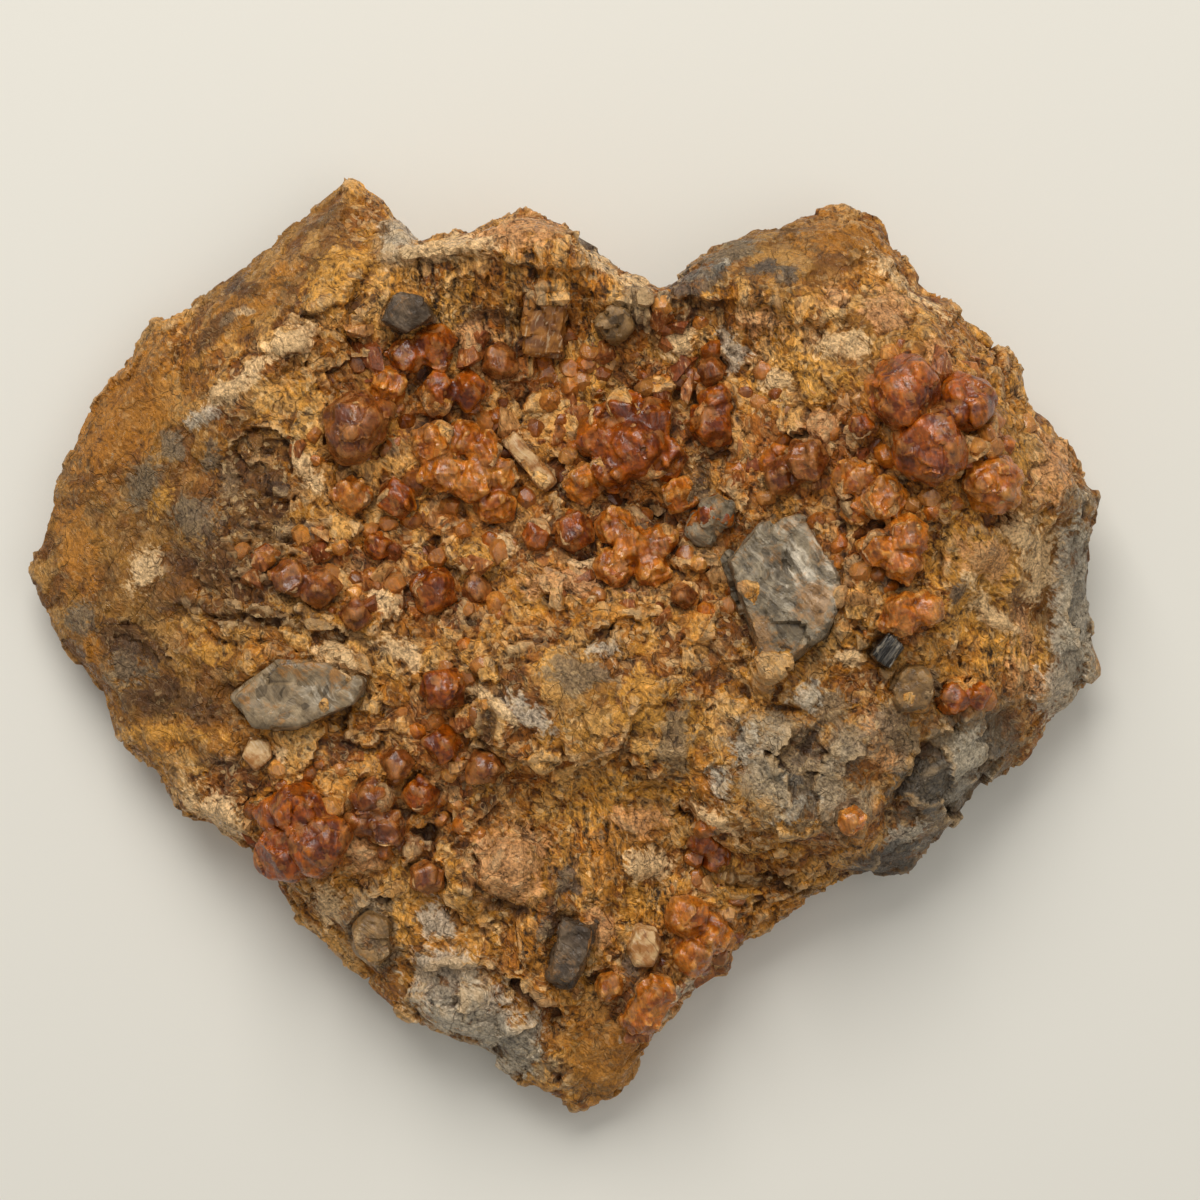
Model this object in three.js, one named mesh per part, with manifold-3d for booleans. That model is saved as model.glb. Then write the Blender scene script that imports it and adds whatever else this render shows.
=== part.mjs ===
// A palm-sized specimen of garnet in matrix: one broken slab of iron-stained rock that rests on its
// flat underside, with garnets, quartz, feldspar and mica seated in sockets in its upper face.
// Millimetres, +Z up. The origin is on the floor, under the middle of the specimen.
import * as THREE from 'three';
import { ConvexGeometry } from 'three/addons/geometries/ConvexGeometry.js';
import { mergeVertices } from 'three/addons/utils/BufferGeometryUtils.js';
import Module from 'manifold-3d';

const wasm = await Module();
wasm.setup();

// ---- driving dimensions, mm ----

const STONE_RINGS = 17;          // rings of facets from the middle of the stone to its edge
const EDGE_JAG = 0.35;           // how far a broken edge strays from a straight line
const EDGE_START = 0.93;         // share of the way out where the top turns over into the flank
const EDGE_DROP = 0.42;          // share of the height lost between there and the widest line
const UNDERCUT_START = 0.84;     // share of the way out where the underside leaves the floor
const SPOT_BLUR = 2.2;           // distance over which one spot height gives way to the next
const RUBBLE = 0.5;              // unevenness of the broken surface between spot heights
const SEAT_GAP = 0.3;            // clear gap between a crystal and its socket
const CRYSTAL_LIFT = 0.28;       // how far a garnet's centre stands above the stone, of its radius
const STRETCH = 0.1;             // how far a garnet strays from its ideal shape
const BIG_GARNET = 3.0;          // from this radius a garnet has 24 faces, below it 12
const CLUSTER_SWELL = 1.2;       // how much larger garnets in a cluster are, which joins them

// Corners of the slab, seen from above, anticlockwise from the tip on the right.
const SLAB_CORNERS = [
  [60, -3], [58.5, 3.5], [58.5, 11], [59.5, 16], [57, 20.5], [53.5, 25.5], [50.5, 27.5], [49.5, 32],
  [44.5, 36.5], [39.5, 39], [37, 43], [35, 48], [30, 48.5], [22, 46], [15.5, 43.5], [11, 39.5],
  [6, 41], [3.5, 43.5], [-1, 47], [-5, 48.5], [-10.5, 46], [-16, 44.5], [-20.5, 49.5], [-24, 52],
  [-29.5, 47.5], [-34, 43], [-43, 37], [-46, 36.5], [-49, 31.5], [-52.5, 27.5], [-55, 22],
  [-57, 18], [-58, 13.5], [-60, 8], [-56.5, 0.5], [-51.5, -5.5], [-50, -10.5], [-45.5, -14.5],
  [-44, -18.5], [-40.5, -19.5], [-33, -25], [-29, -31], [-21, -38], [-18.5, -41], [-13.5, -43.5],
  [-4, -48.5], [0.5, -52], [6, -50.5], [10, -43.5], [15, -38], [18.5, -36.5], [19.5, -33],
  [29, -27], [33, -25.5], [38.5, -25.5], [42, -21], [46.5, -15.5], [51, -13], [54.5, -8],
];

// Heights of the upper face above the floor at chosen spots: [x, y, height].
const SPOT_HEIGHTS = {
  west_slab: [
    [-56, 9, 9], [-51, 18, 11], [-47, 27, 11], [-43, 34, 11.5], [-48, 9, 12], [-40, 20, 15],
    [-38, 34, 15], [-33, 39, 16], [-35, 27, 19], [-30, 33, 20], [-29, 18, 17], [-34, 12, 17],
    [-32, 5, 19], [-26, 0, 20], [-29, -5, 19], [-42, 5, 14], [-49, 0, 11], [-46, -8, 11],
    [-38, -8, 15], [-41, -16, 12], [-35, -15, 16],
  ],
  north_west_tip: [[-27, 46, 15], [-24, 50, 14.5], [-20, 46, 13.5], [-24, 39, 20.5], [-25, 35, 21]],
  top_rim: [
    [-17, 41, 21], [-10, 42.5, 22], [-4, 44, 22], [0, 42, 23], [5, 39, 22.5], [10, 37, 21.5],
    [15, 39, 22], [22, 37, 23], [27, 37, 23.5],
  ],
  north_lobe: [[20, 44, 18], [28, 46, 17], [33, 45, 16.5], [30, 41, 21], [36, 39, 21]],
  wall_foot: [[-17, 36, 18], [-9, 34, 16.5], [0, 34, 16], [8, 32, 16], [16, 31, 17], [22, 31, 20]],
  vug_floor: [
    [-22, 30, 18], [-14, 29, 17], [-5, 28, 16], [2, 27, 15.5], [-2, 20, 16], [-8, 24, 16.5],
    [-15, 20, 17.5], [-22, 20, 17.5], [-26, 24, 19], [8, 22, 17.5], [14, 24, 17], [20, 25, 20],
    [2, 13, 16.5], [-8, 12, 16], [-16, 10, 17], [-22, 12, 17], [10, 13, 17], [-8, 7, 17],
    [-2, 7, 18], [-20, 5, 19], [8, 8, 17.5],
  ],
  east_dome: [
    [30, 32, 25], [36, 32, 27], [42, 30, 26], [38, 25, 29], [44, 22, 27.5], [33, 22, 27],
    [46, 32, 20], [50, 27, 19], [53, 22, 17], [50, 15, 22], [40, 15, 27], [44, 10, 24],
    [34, 10, 26], [28, 17, 23], [26, 23, 22], [38, 4, 25], [46, 2, 20], [54, 10, 15],
    [56, 3, 12], [51, -3, 14.5], [56, -4, 10], [44, -5, 19], [50, -10, 11.5],
  ],
  quartz_seat: [[17, 6, 19], [23, 15, 20], [32, 0, 22], [23, -6, 21.5]],
  south_east_plateau: [
    [18, -8, 22], [25, -9, 23], [33, -8, 23], [40, -12, 19], [16, -17, 22], [24, -18.5, 22.5],
    [31, -20, 21.5], [37, -18, 18], [43, -15, 14], [37, -23, 11],
  ],
  south_east_shelf: [[17, -22.5, 13], [24, -24.5, 12], [30, -25.5, 10], [20, -29, 11]],
  sandy_knob: [
    [-8, 1, 21.5], [0, 3, 21], [8, 3, 22], [13, 0, 22.5], [-6, -6, 23], [3, -4, 24],
    [11, -6, 23.5], [-3, -12, 22], [6, -12, 22.5], [12, -12, 22],
  ],
  knob_foot: [[-4, -16.5, 15], [4, -17, 14.5], [11, -17.5, 15]],
  south_west_field: [
    [-12, -4, 20], [-14, -9, 19.5], [-18, -5, 19], [-24, -9, 18], [-20, -13, 17.5],
    [-28, -12, 18], [-28, -20, 18.5], [-34, -19, 15], [-33, -23, 12], [-22, -22, 17],
    [-15, -20, 16], [-10, -17, 17], [-24, -28, 14], [-27, -31, 10],
  ],
  south_point: [
    [-18, -30, 14], [-20, -36, 12], [-15, -25, 15.5], [-8, -24, 18.5], [-8, -32, 14],
    [-12, -38, 14.5], [-4, -38, 14.5], [-6, -45, 10], [0, -30, 16], [-2, -42, 12], [4, -24, 16],
    [8, -30, 14], [13, -27, 14], [13, -33, 13], [16, -35, 11], [8, -38, 13], [4, -43, 10],
    [1, -48, 8.5], [4, -48, 8],
  ],
};

// Garnets, by cluster: [x, y, radius] of each crystal. Those in one cluster have grown together.
const GARNETS = {
  upper_left_pair: [[-14, 32.5, 2.1], [-17, 31.5, 1.8]],
  upper_left_orange: [[-19, 28.5, 2]],
  upper_left_round: [[-13.5, 27.5, 2], [-10.5, 28, 1.7]],
  upper_left_dark: [[-7, 31, 1.9]],
  west_pink: [[-22.5, 24, 2.8], [-20.5, 25, 1.6]],
  west_mass: [
    [-14, 22, 2.3], [-11, 22.5, 1.9], [-13, 19, 2.2], [-9, 21, 2], [-10, 18, 2.2],
    [-7, 18.5, 1.8], [-7.5, 15.5, 2.1],
  ],
  west_dark_red: [[-18, 16, 2.4]],
  west_small: [[-23, 16.5, 2]],
  west_bead: [[-20, 11, 1.6]],
  far_west_pair: [[-29.5, 7.5, 1.9], [-26.5, 6.5, 1.9]],
  far_west_single: [[-22.5, 3.5, 1.7]],
  centre_round: [[-14, 6, 2.7]],
  centre_clear: [[-9.5, 6, 1.6]],
  centre_cluster: [
    [4, 23, 2.4], [6.5, 25.5, 2.2], [9.5, 24.5, 2.4], [8, 21.5, 2.9], [5.5, 19.5, 2.1],
    [11, 20.5, 2.2],
  ],
  centre_foot: [[12.5, 16.5, 2]],
  centre_orange: [[2.2, 17.6, 2.1]],
  centre_square: [[1, 12.5, 2.5]],
  centre_druse: [[5.5, 13, 1.8], [7.5, 11, 1.9], [5.5, 8.5, 1.8], [9.5, 8.5, 1.7], [10.5, 11.5, 1.6]],
  centre_edge: [[-3, 12, 1.6]],
  ledge_dark: [[13, 5.5, 1.6]],
  north_glint: [[16, 24, 2.3], [16.5, 26.5, 1.5]],
  north_dark: [[16, 30, 1.7]],
  quartz_side: [[16.5, 14.5, 1.8], [15, 12.8, 1.6]],
  north_east_pink: [[26, 20, 2.1], [23.5, 18.5, 1.7]],
  east_crown: [[36, 27, 3.2], [38.5, 21.5, 3.3]],
  east_red: [[42.5, 26, 3]],
  east_orange: [[45.5, 17.5, 3.1]],
  east_bead: [[31.5, 23.5, 1.5]],
  grapes_upper: [[31, 18, 2.2], [34, 16, 2.1], [31.5, 15, 1.8]],
  grapes_lower: [[36.5, 12, 2], [33.5, 10.5, 2], [36, 9, 1.8]],
  orange_ball: [[36, 3.5, 2.2], [38.5, 4, 1.6]],
  south_east_pair: [[42, -5.5, 1.6], [44.5, -5, 1.3]],
  plateau_spot: [[31, -18.5, 1.6]],
  south_west_round: [[-13, -4.5, 2.6]],
  south_west_bright: [[-13, -10.5, 1.9]],
  south_west_glint: [[-8.5, -13, 2.1]],
  big_south_west: [[-30, -22, 3], [-26.5, -21, 2.7], [-28.5, -17.5, 2.4], [-31.5, -18, 1.7]],
  dark_trio: [[-21, -16.5, 2.1], [-19.5, -19.5, 2], [-22, -19, 1.5]],
  purple_crystal: [[-18, -12.5, 1.8]],
  pit_side: [[-15.5, -16, 2.1]],
  low_dark: [[-15, -25, 1.9]],
  under_ledge: [[15, -21, 1.6], [16.5, -23, 1.5]],
  south_cluster: [[13.5, -29.5, 2.1], [16, -31.5, 2.1], [14, -33.5, 2]],
  south_glassy: [[10, -38, 2.2], [8.5, -40.5, 1.9]],
  south_small: [[5, -37, 1.5]],
};

// The other minerals are low polygons, seen from above, with the heights of their two ends:
// corners [x, y], foot and head heights, the slope of the head along x and y, and the taper upwards.
const OTHER_MINERALS = {
  smoky_quartz_block: {
    corners: [[17, 9.5], [21, 13.5], [25.5, 14.5], [28, 11], [30, 6], [28, 1], [21.5, -4]],
    foot: 15, head: 24.5, slope: [0.1, -0.12], taper: 0.88,
  },
  smoky_quartz_north: {
    corners: [[-20, 35], [-18, 38], [-15, 37.5], [-14, 35.5], [-17, 33.8]],
    foot: 14, head: 21.5, slope: [-0.15, 0.15], taper: 0.8,
  },
  grey_quartz_shard: {
    corners: [[-36, -5.5], [-31, -1.5], [-25, -1.5], [-21, -3.5], [-22, -6], [-28, -8.5], [-34, -8.5]],
    foot: 14, head: 21, slope: [0.06, 0.1], taper: 0.86,
  },
  round_quartz: {
    corners: [[34.5, -4.5], [36, -7], [39, -7], [40, -4.5], [39, -2], [36.5, -1.6]],
    foot: 17, head: 23.6, slope: [-0.1, -0.1], taper: 0.75,
  },
  rim_quartz: {
    corners: [[3.5, 35], [4, 33.3], [6.2, 33], [7.5, 34.5], [7, 36.3], [5, 37]],
    foot: 14.5, head: 21, slope: [0, 0.2], taper: 0.75,
  },
  dark_quartz_blade: {
    corners: [[-2, -36.5], [-0.5, -28.5], [3.5, -29.5], [3, -33], [0.5, -37.5]],
    foot: 11, head: 18.2, slope: [0.1, 0.12], taper: 0.7,
  },
  grey_quartz_lump: {
    corners: [[-23, -33.5], [-20.5, -35.5], [-18.5, -33.5], [-19, -29.5], [-21.5, -28.5], [-23.2, -30.5]],
    foot: 8.5, head: 15.6, slope: [0.1, 0.1], taper: 0.78,
  },
  mica_book: {
    corners: [[33, -0.6], [34.6, 1.3], [36.2, 0], [34.7, -2]],
    foot: 19, head: 25.6, slope: [-0.35, 0.25], taper: 0.95,
  },
  feldspar_block: {
    corners: [[-4.5, 32], [-0.3, 31.5], [0.2, 37.5], [-4, 38]],
    foot: 13.5, head: 20, slope: [0, 0.32], taper: 0.92,
  },
  feldspar_lath: {
    corners: [[-6.6, 22.2], [-5.6, 23.4], [-0.8, 17.8], [-1.8, 16.8]],
    foot: 13.5, head: 17.6, slope: [0, 0.06], taper: 0.85,
  },
  feldspar_grain: {
    corners: [[6.8, -33], [7.5, -35], [9.6, -35.2], [10.6, -33], [10, -30.5], [7.8, -30]],
    foot: 9.5, head: 15.8, slope: [0, 0.05], taper: 0.72,
  },
  feldspar_chip: {
    corners: [[-35, -12], [-33.5, -13.5], [-31.5, -12], [-32, -10], [-34, -9.8]],
    foot: 13, head: 18.2, slope: [0.12, 0], taper: 0.75,
  },
};

// ---- colours ----

const STONE = { color: '#96704a', roughness: 0.9, metalness: 0 };
const GARNET = { color: '#a04628', roughness: 0.25, metalness: 0 };
const SMOKY_QUARTZ = { color: '#6e675c', roughness: 0.3, metalness: 0 };
const FELDSPAR = { color: '#d3b993', roughness: 0.55, metalness: 0 };
const MICA = { color: '#33302c', roughness: 0.35, metalness: 0 };

// ---- solids ----

// A repeatable run of numbers from 0 to 1.
function numbersFrom(seed) {
  let state = seed;
  return () => {
    state = (state + 0x6d2b79f5) | 0;
    let mixed = Math.imul(state ^ (state >>> 15), 1 | state);
    mixed = (mixed + Math.imul(mixed ^ (mixed >>> 7), 61 | mixed)) ^ mixed;
    return ((mixed ^ (mixed >>> 14)) >>> 0) / 4294967296;
  };
}

// A closed solid from a geometry, with its shared corners merged.
function solidOf(geometry) {
  const bare = geometry.clone();
  bare.deleteAttribute('normal');
  bare.deleteAttribute('uv');
  const merged = mergeVertices(bare, 1e-4);
  return new wasm.Manifold(new wasm.Mesh({
    numProp: 3,
    vertProperties: new Float32Array(merged.attributes.position.array),
    triVerts: new Uint32Array(merged.index.array),
  }));
}

// A named mesh from a solid.
function meshOf(name, solid, finish) {
  const { vertProperties, triVerts } = solid.getMesh();
  const geometry = new THREE.BufferGeometry();
  geometry.setAttribute('position', new THREE.BufferAttribute(vertProperties, 3));
  geometry.setIndex(new THREE.BufferAttribute(triVerts, 1));
  geometry.computeVertexNormals();
  const mesh = new THREE.Mesh(geometry, new THREE.MeshStandardMaterial(finish));
  mesh.name = name;
  return mesh;
}

// ---- the stone ----

const spots = Object.values(SPOT_HEIGHTS).flat();

// Height of the upper face: each spot height counts for more the nearer it is.
function topHeight(x, y) {
  let sum = 0;
  let weights = 0;
  for (const [spotX, spotY, height] of spots) {
    const weight = ((x - spotX) ** 2 + (y - spotY) ** 2 + SPOT_BLUR ** 2) ** -2.5;
    sum += weight * height;
    weights += weight;
  }
  return sum / weights;
}

// The broken edge: the longest straight run is split, a little off its line, until the edge has
// enough points.
function brokenEdge(corners, count) {
  const edge = corners.map(([x, y]) => new THREE.Vector2(x, y));
  const next = numbersFrom(5);
  while (edge.length < count) {
    const runs = edge.map((point, i) => point.distanceTo(edge[(i + 1) % edge.length]));
    const longest = runs.indexOf(Math.max(...runs));
    const start = edge[longest];
    const end = edge[(longest + 1) % edge.length];
    const along = end.clone().sub(start).normalize();
    const aside = new THREE.Vector2(along.y, -along.x).multiplyScalar(EDGE_JAG * (2 * next() - 1));
    edge.splice(longest + 1, 0, start.clone().lerp(end, 0.5).add(aside));
  }
  return edge;
}

// An octahedron's facets laid out in rings: its upper half becomes the upper face, its waist the broken
// edge and its lower half the undercut, which is sawn off flat at the floor.
function makeStone() {
  const sheet = new THREE.OctahedronGeometry(1, STONE_RINGS - 1);
  const edge = brokenEdge(SLAB_CORNERS, 4 * STONE_RINGS);
  const position = sheet.attributes.position;
  const point = new THREE.Vector3();
  for (let i = 0; i < position.count; i += 1) {
    point.fromBufferAttribute(position, i);
    const across = Math.abs(point.x) + Math.abs(point.y);
    const out = across / (across + Math.abs(point.z));
    const plan = planOf(edge, turnOf(point), out);
    const height = heightOf(plan, out, point.z < -1e-6);
    position.setXYZ(i, plan.x, plan.y, height);
  }
  const floor = new THREE.BoxGeometry(200, 200, 40).translate(0, 0, -20);
  return solidOf(sheet).subtract(solidOf(floor));
}

// How far round the stone a point of the octahedron is, in turns.
function turnOf(point) {
  const across = Math.abs(point.x) + Math.abs(point.y);
  if (across < 1e-9) return 0;
  if (point.x > 1e-9 && point.y >= -1e-9) return Math.abs(point.y) / across / 4;
  if (point.y > 1e-9) return (1 + Math.abs(point.x) / across) / 4;
  if (point.x < -1e-9) return (2 + Math.abs(point.y) / across) / 4;
  return (3 + Math.abs(point.x) / across) / 4;
}

// The place, seen from above, that is a given share of the way out to the broken edge.
function planOf(edge, turn, out) {
  const place = turn * edge.length;
  const start = Math.floor(place + 1e-6);
  const from = edge[start % edge.length];
  const to = edge[(start + 1) % edge.length];
  return from.clone().lerp(to, Math.max(0, place - start)).multiplyScalar(out);
}

// Height of a point of the stone. The underside dips below the floor where it will be sawn flat.
function heightOf(plan, out, isUnderside) {
  const top = topHeight(plan.x, plan.y);
  const edgeHeight = top * (1 - EDGE_DROP);
  if (isUnderside) {
    const rise = (out - UNDERCUT_START) / (1 - UNDERCUT_START);
    return edgeHeight * (rise > 0 ? rise ** 1.6 : 0) - 2 * (rise < 0.3 ? 1 : 0);
  }
  const lumps = Math.sin(2.1 * plan.x + Math.sin(1.3 * plan.y)) * Math.sin(1.7 * plan.y + plan.x);
  const turnOver = THREE.MathUtils.smoothstep(out, EDGE_START, 1);
  return top + RUBBLE * lumps * (1 - out ** 4) - EDGE_DROP * top * turnOver;
}

// ---- garnets ----

// Corners of an ideal garnet of radius 1: 12 rhombic faces, or 24 kite faces.
function garnetCorners(hasKites) {
  const corners = [];
  for (const x of [-1, 0, 1]) {
    for (const y of [-1, 0, 1]) {
      for (const z of [-1, 0, 1]) {
        const axes = Math.abs(x) + Math.abs(y) + Math.abs(z);
        if (axes === 1) corners.push([x, y, z]);
        if (axes === 2 && hasKites) corners.push([x / 1.5, y / 1.5, z / 1.5]);
        if (axes === 3) corners.push([x / 2, y / 2, z / 2]);
      }
    }
  }
  return corners.map((corner) => new THREE.Vector3(...corner));
}

// One garnet, turned and stretched a little. Growing it by the seat gap gives its socket.
function makeGarnet([x, y, radius], seed, grow) {
  const next = numbersFrom(seed);
  const hasKites = radius >= BIG_GARNET;
  const flatRadius = hasKites ? 0.816 : 0.707;
  const turn = new THREE.Euler(next() * 6, next() * 6, next() * 6);
  const size = [0, 1, 2].map(() => radius * (1 + STRETCH * (2 * next() - 1)) + grow / flatRadius);
  const corners = garnetCorners(hasKites).map((corner) => (
    corner.multiply(new THREE.Vector3(...size)).applyEuler(turn)
  ));
  const geometry = new ConvexGeometry(corners);
  geometry.translate(x, y, topHeight(x, y) + CRYSTAL_LIFT * radius);
  return solidOf(geometry);
}

function makeCluster(crystals, seed, grow) {
  const swell = crystals.length > 1 ? CLUSTER_SWELL : 1;
  const solids = crystals.map(([x, y, radius], i) => makeGarnet([x, y, radius * swell], seed + i, grow));
  return solids.reduce((joined, solid) => joined.add(solid));
}

// ---- quartz, feldspar and mica ----

// A low polygon with a sloping, tapered head. Growing it by the seat gap gives its socket.
function makeMineral({ corners, foot, head, slope, taper }, grow) {
  const middle = corners.reduce((sum, [x, y]) => sum.add(new THREE.Vector2(x, y)), new THREE.Vector2());
  middle.divideScalar(corners.length);
  const points = [];
  for (const [x, y] of corners) {
    const arm = new THREE.Vector2(x, y).sub(middle);
    arm.setLength(arm.length() + 1.3 * grow);
    const top = arm.clone().multiplyScalar(taper);
    const headHeight = head + slope[0] * top.x + slope[1] * top.y;
    points.push(new THREE.Vector3(middle.x + arm.x, middle.y + arm.y, foot - grow));
    points.push(new THREE.Vector3(middle.x + top.x, middle.y + top.y, headHeight + grow));
  }
  return solidOf(new ConvexGeometry(points));
}

// ---- assembly ----

const finishOf = (name) => {
  if (name.includes('quartz')) return SMOKY_QUARTZ;
  if (name.includes('feldspar')) return FELDSPAR;
  return MICA;
};

const specimen = new THREE.Group();
let stone = makeStone();

Object.entries(GARNETS).forEach(([name, crystals], i) => {
  const seed = 100 * (i + 1);
  stone = stone.subtract(makeCluster(crystals, seed, SEAT_GAP));
  specimen.add(meshOf(`garnet_${name}`, makeCluster(crystals, seed, 0), GARNET));
});

for (const [name, shape] of Object.entries(OTHER_MINERALS)) {
  stone = stone.subtract(makeMineral(shape, SEAT_GAP));
  specimen.add(meshOf(name, makeMineral(shape, 0), finishOf(name)));
}

specimen.add(meshOf('matrix', stone, STONE));

export default specimen;
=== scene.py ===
import itertools
import math

import bmesh
import bpy
import numpy as np
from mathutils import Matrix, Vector
from mathutils.bvhtree import BVHTree


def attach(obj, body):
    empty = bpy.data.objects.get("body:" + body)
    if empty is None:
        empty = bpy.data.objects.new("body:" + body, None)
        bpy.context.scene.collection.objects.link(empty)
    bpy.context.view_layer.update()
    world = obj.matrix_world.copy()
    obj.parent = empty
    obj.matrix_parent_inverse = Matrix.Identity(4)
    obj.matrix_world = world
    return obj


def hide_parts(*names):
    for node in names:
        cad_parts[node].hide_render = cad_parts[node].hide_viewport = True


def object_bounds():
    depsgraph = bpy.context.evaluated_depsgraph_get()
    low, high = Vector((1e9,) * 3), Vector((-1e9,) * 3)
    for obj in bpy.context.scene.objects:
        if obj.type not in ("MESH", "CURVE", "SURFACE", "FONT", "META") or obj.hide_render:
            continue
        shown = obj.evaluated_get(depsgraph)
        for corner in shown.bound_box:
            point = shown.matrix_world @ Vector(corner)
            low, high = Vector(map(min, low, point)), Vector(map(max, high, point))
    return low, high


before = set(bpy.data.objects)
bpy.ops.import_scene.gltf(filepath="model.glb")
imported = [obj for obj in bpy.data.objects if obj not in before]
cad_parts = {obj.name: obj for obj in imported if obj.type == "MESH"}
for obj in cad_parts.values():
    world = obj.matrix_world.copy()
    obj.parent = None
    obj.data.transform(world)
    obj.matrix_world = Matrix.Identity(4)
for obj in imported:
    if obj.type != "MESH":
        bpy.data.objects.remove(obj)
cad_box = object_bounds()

# ---- The stone ------------------------------------------------------------------------------
# One loose slab of coarse rock, of quartz, feldspar and mica, stained ochre and brown by iron.
# It broke off all round, lies on its flat underside and holds every crystal in a socket.

MM = 0.001
ROUGH_CELL = 0.6             # size of the mesh cells while the broad shape is cut, mm
STONE_CELL = 0.36            # size of the finished stone's mesh cells, mm
STONE_MOST_FACES = 192000
SOFTENING = 3                # rounds of smoothing that turn the facets into worn rock
SHARP = 38                   # degrees over which an edge stays sharp
UNDERSIDE = 0.3              # height up to which the flat underside is left as it is, mm
THINNED_BELOW = 1.2          # height up to which the mesh is thinned first, mm
THINNED = 0.85               # how much of the mesh that thinning leaves
SOCKET_GAP = 0.32            # how far a crystal is grown to close the gap round it, mm
BIG_GRAIN = 6.0              # sizes of the broken rock's grains, and of its other textures, mm
BLOCK_GRAIN = 3.3
SMALL_GRAIN = 1.8
GLASS_GRAIN = 3.8
GLITTER_GRAIN = 1.0
FLAKE = 1.5
COLUMN = 1.7
BED = 1.9                    # thickness of the thin beds that break back as ledges, mm
BORDER = 0.35                # a grain rises from its border over this part of its size
BARE_WITHIN = 0.72           # the rock is sunk where it is nearer to a crystal than this, mm
BARE_FADE = 0.34
SUNK = 0.75                  # how far the rock is sunk beneath a crystal, mm


def points_of(mesh):
    """The mesh's points and their normals, in mm."""
    points = np.empty(len(mesh.vertices) * 3, np.float32)
    normals = np.empty(len(mesh.vertices) * 3, np.float32)
    mesh.vertices.foreach_get("co", points)
    mesh.vertex_normals.foreach_get("vector", normals)
    return points.reshape(-1, 3).astype(float) / MM, normals.reshape(-1, 3).astype(float)


def put_points(mesh, points):
    mesh.vertices.foreach_set("co", (points * MM).astype(np.float32).ravel())
    mesh.update()


def put_mask(mesh, name, values):
    mask = mesh.attributes.new(name, "FLOAT", "POINT")
    mask.data.foreach_set("value", values.astype(np.float32))


def copy_of(node, name, grow=0.0):
    """A copy of a node's solid, with the corners of its loose facets joined, grown by some mm."""
    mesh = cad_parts[node].data.copy()
    mesh.materials.clear()
    work = bmesh.new()
    work.from_mesh(mesh)
    bmesh.ops.remove_doubles(work, verts=work.verts, dist=1e-6)
    work.to_mesh(mesh)
    work.free()
    if grow:
        points, normals = points_of(mesh)
        put_points(mesh, points + normals * grow)
    piece = bpy.data.objects.new(name, mesh)
    bpy.context.scene.collection.objects.link(piece)
    return piece


def settle(piece):
    """Turns a piece and its modifiers into one plain mesh."""
    shown = piece.evaluated_get(bpy.context.evaluated_depsgraph_get())
    mesh = bpy.data.meshes.new_from_object(shown)
    piece.modifiers.clear()
    piece.data = mesh


def recast(piece, cell):
    """Covers the closed shells of a piece with one even skin of small cells, in mm."""
    skin = piece.modifiers.new("skin", "REMESH")
    skin.mode = "VOXEL"
    skin.voxel_size = cell * MM
    settle(piece)


def merge_in(piece, others):
    """Puts the meshes of other pieces into a piece's mesh, and takes the others away."""
    work = bmesh.new()
    work.from_mesh(piece.data)
    for other in others:
        work.from_mesh(other.data)
        bpy.data.objects.remove(other)
    work.to_mesh(piece.data)
    work.free()


def neighbour_mean(mesh, values, rounds):
    """Values averaged with those of their neighbours, a number of times."""
    edges = np.empty(len(mesh.edges) * 2, np.int32)
    mesh.edges.foreach_get("vertices", edges)
    start, end = edges.reshape(-1, 2).T
    count = len(values)
    ties = np.bincount(start, minlength=count) + np.bincount(end, minlength=count)
    columns = values.reshape(count, -1).T
    for _ in range(rounds):
        columns = [
            0.5 * column + 0.5 * (np.bincount(start, column[end], count)
                                  + np.bincount(end, column[start], count)) / np.maximum(ties, 1)
            for column in columns
        ]
    return np.stack(columns, axis=1).reshape(values.shape)


def scrambled(cells, seed):
    """A repeatable number from -1 to 1 for each cell of a lattice."""
    mixed = cells[:, 0] * 73856093 ^ cells[:, 1] * 19349663 ^ cells[:, 2] * 83492791 ^ seed * 40503
    mixed = (mixed ^ (mixed >> 15)) * 2246822519 & 0xFFFFFFFF
    mixed = (mixed ^ (mixed >> 13)) * 3266489917 & 0xFFFFFFFF
    return ((mixed ^ (mixed >> 16)) & 0xFFFF) / 32767.5 - 1


def swells(points, size, seed, octaves=1):
    """Smooth bumps about one size across, from -1 to 1, with finer ones on them."""
    total = np.zeros(len(points))
    for octave in range(octaves):
        cell = points * 2 ** octave / size
        base = np.floor(cell).astype(np.int64)
        part = cell - base
        part = part * part * (3 - 2 * part)
        for corner in itertools.product((0, 1), repeat=3):
            weight = np.prod(np.where(corner, part, 1 - part), axis=1)
            total += weight * scrambled(base + corner, seed + octave) / 2 ** octave
    return total


def shifts(points, size, seed, octaves=1):
    """A shift along each axis, from -1 to 1, that makes straight patterns wander."""
    return np.stack([swells(points, size, seed + axis, octaves) for axis in range(3)], axis=1)


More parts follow.
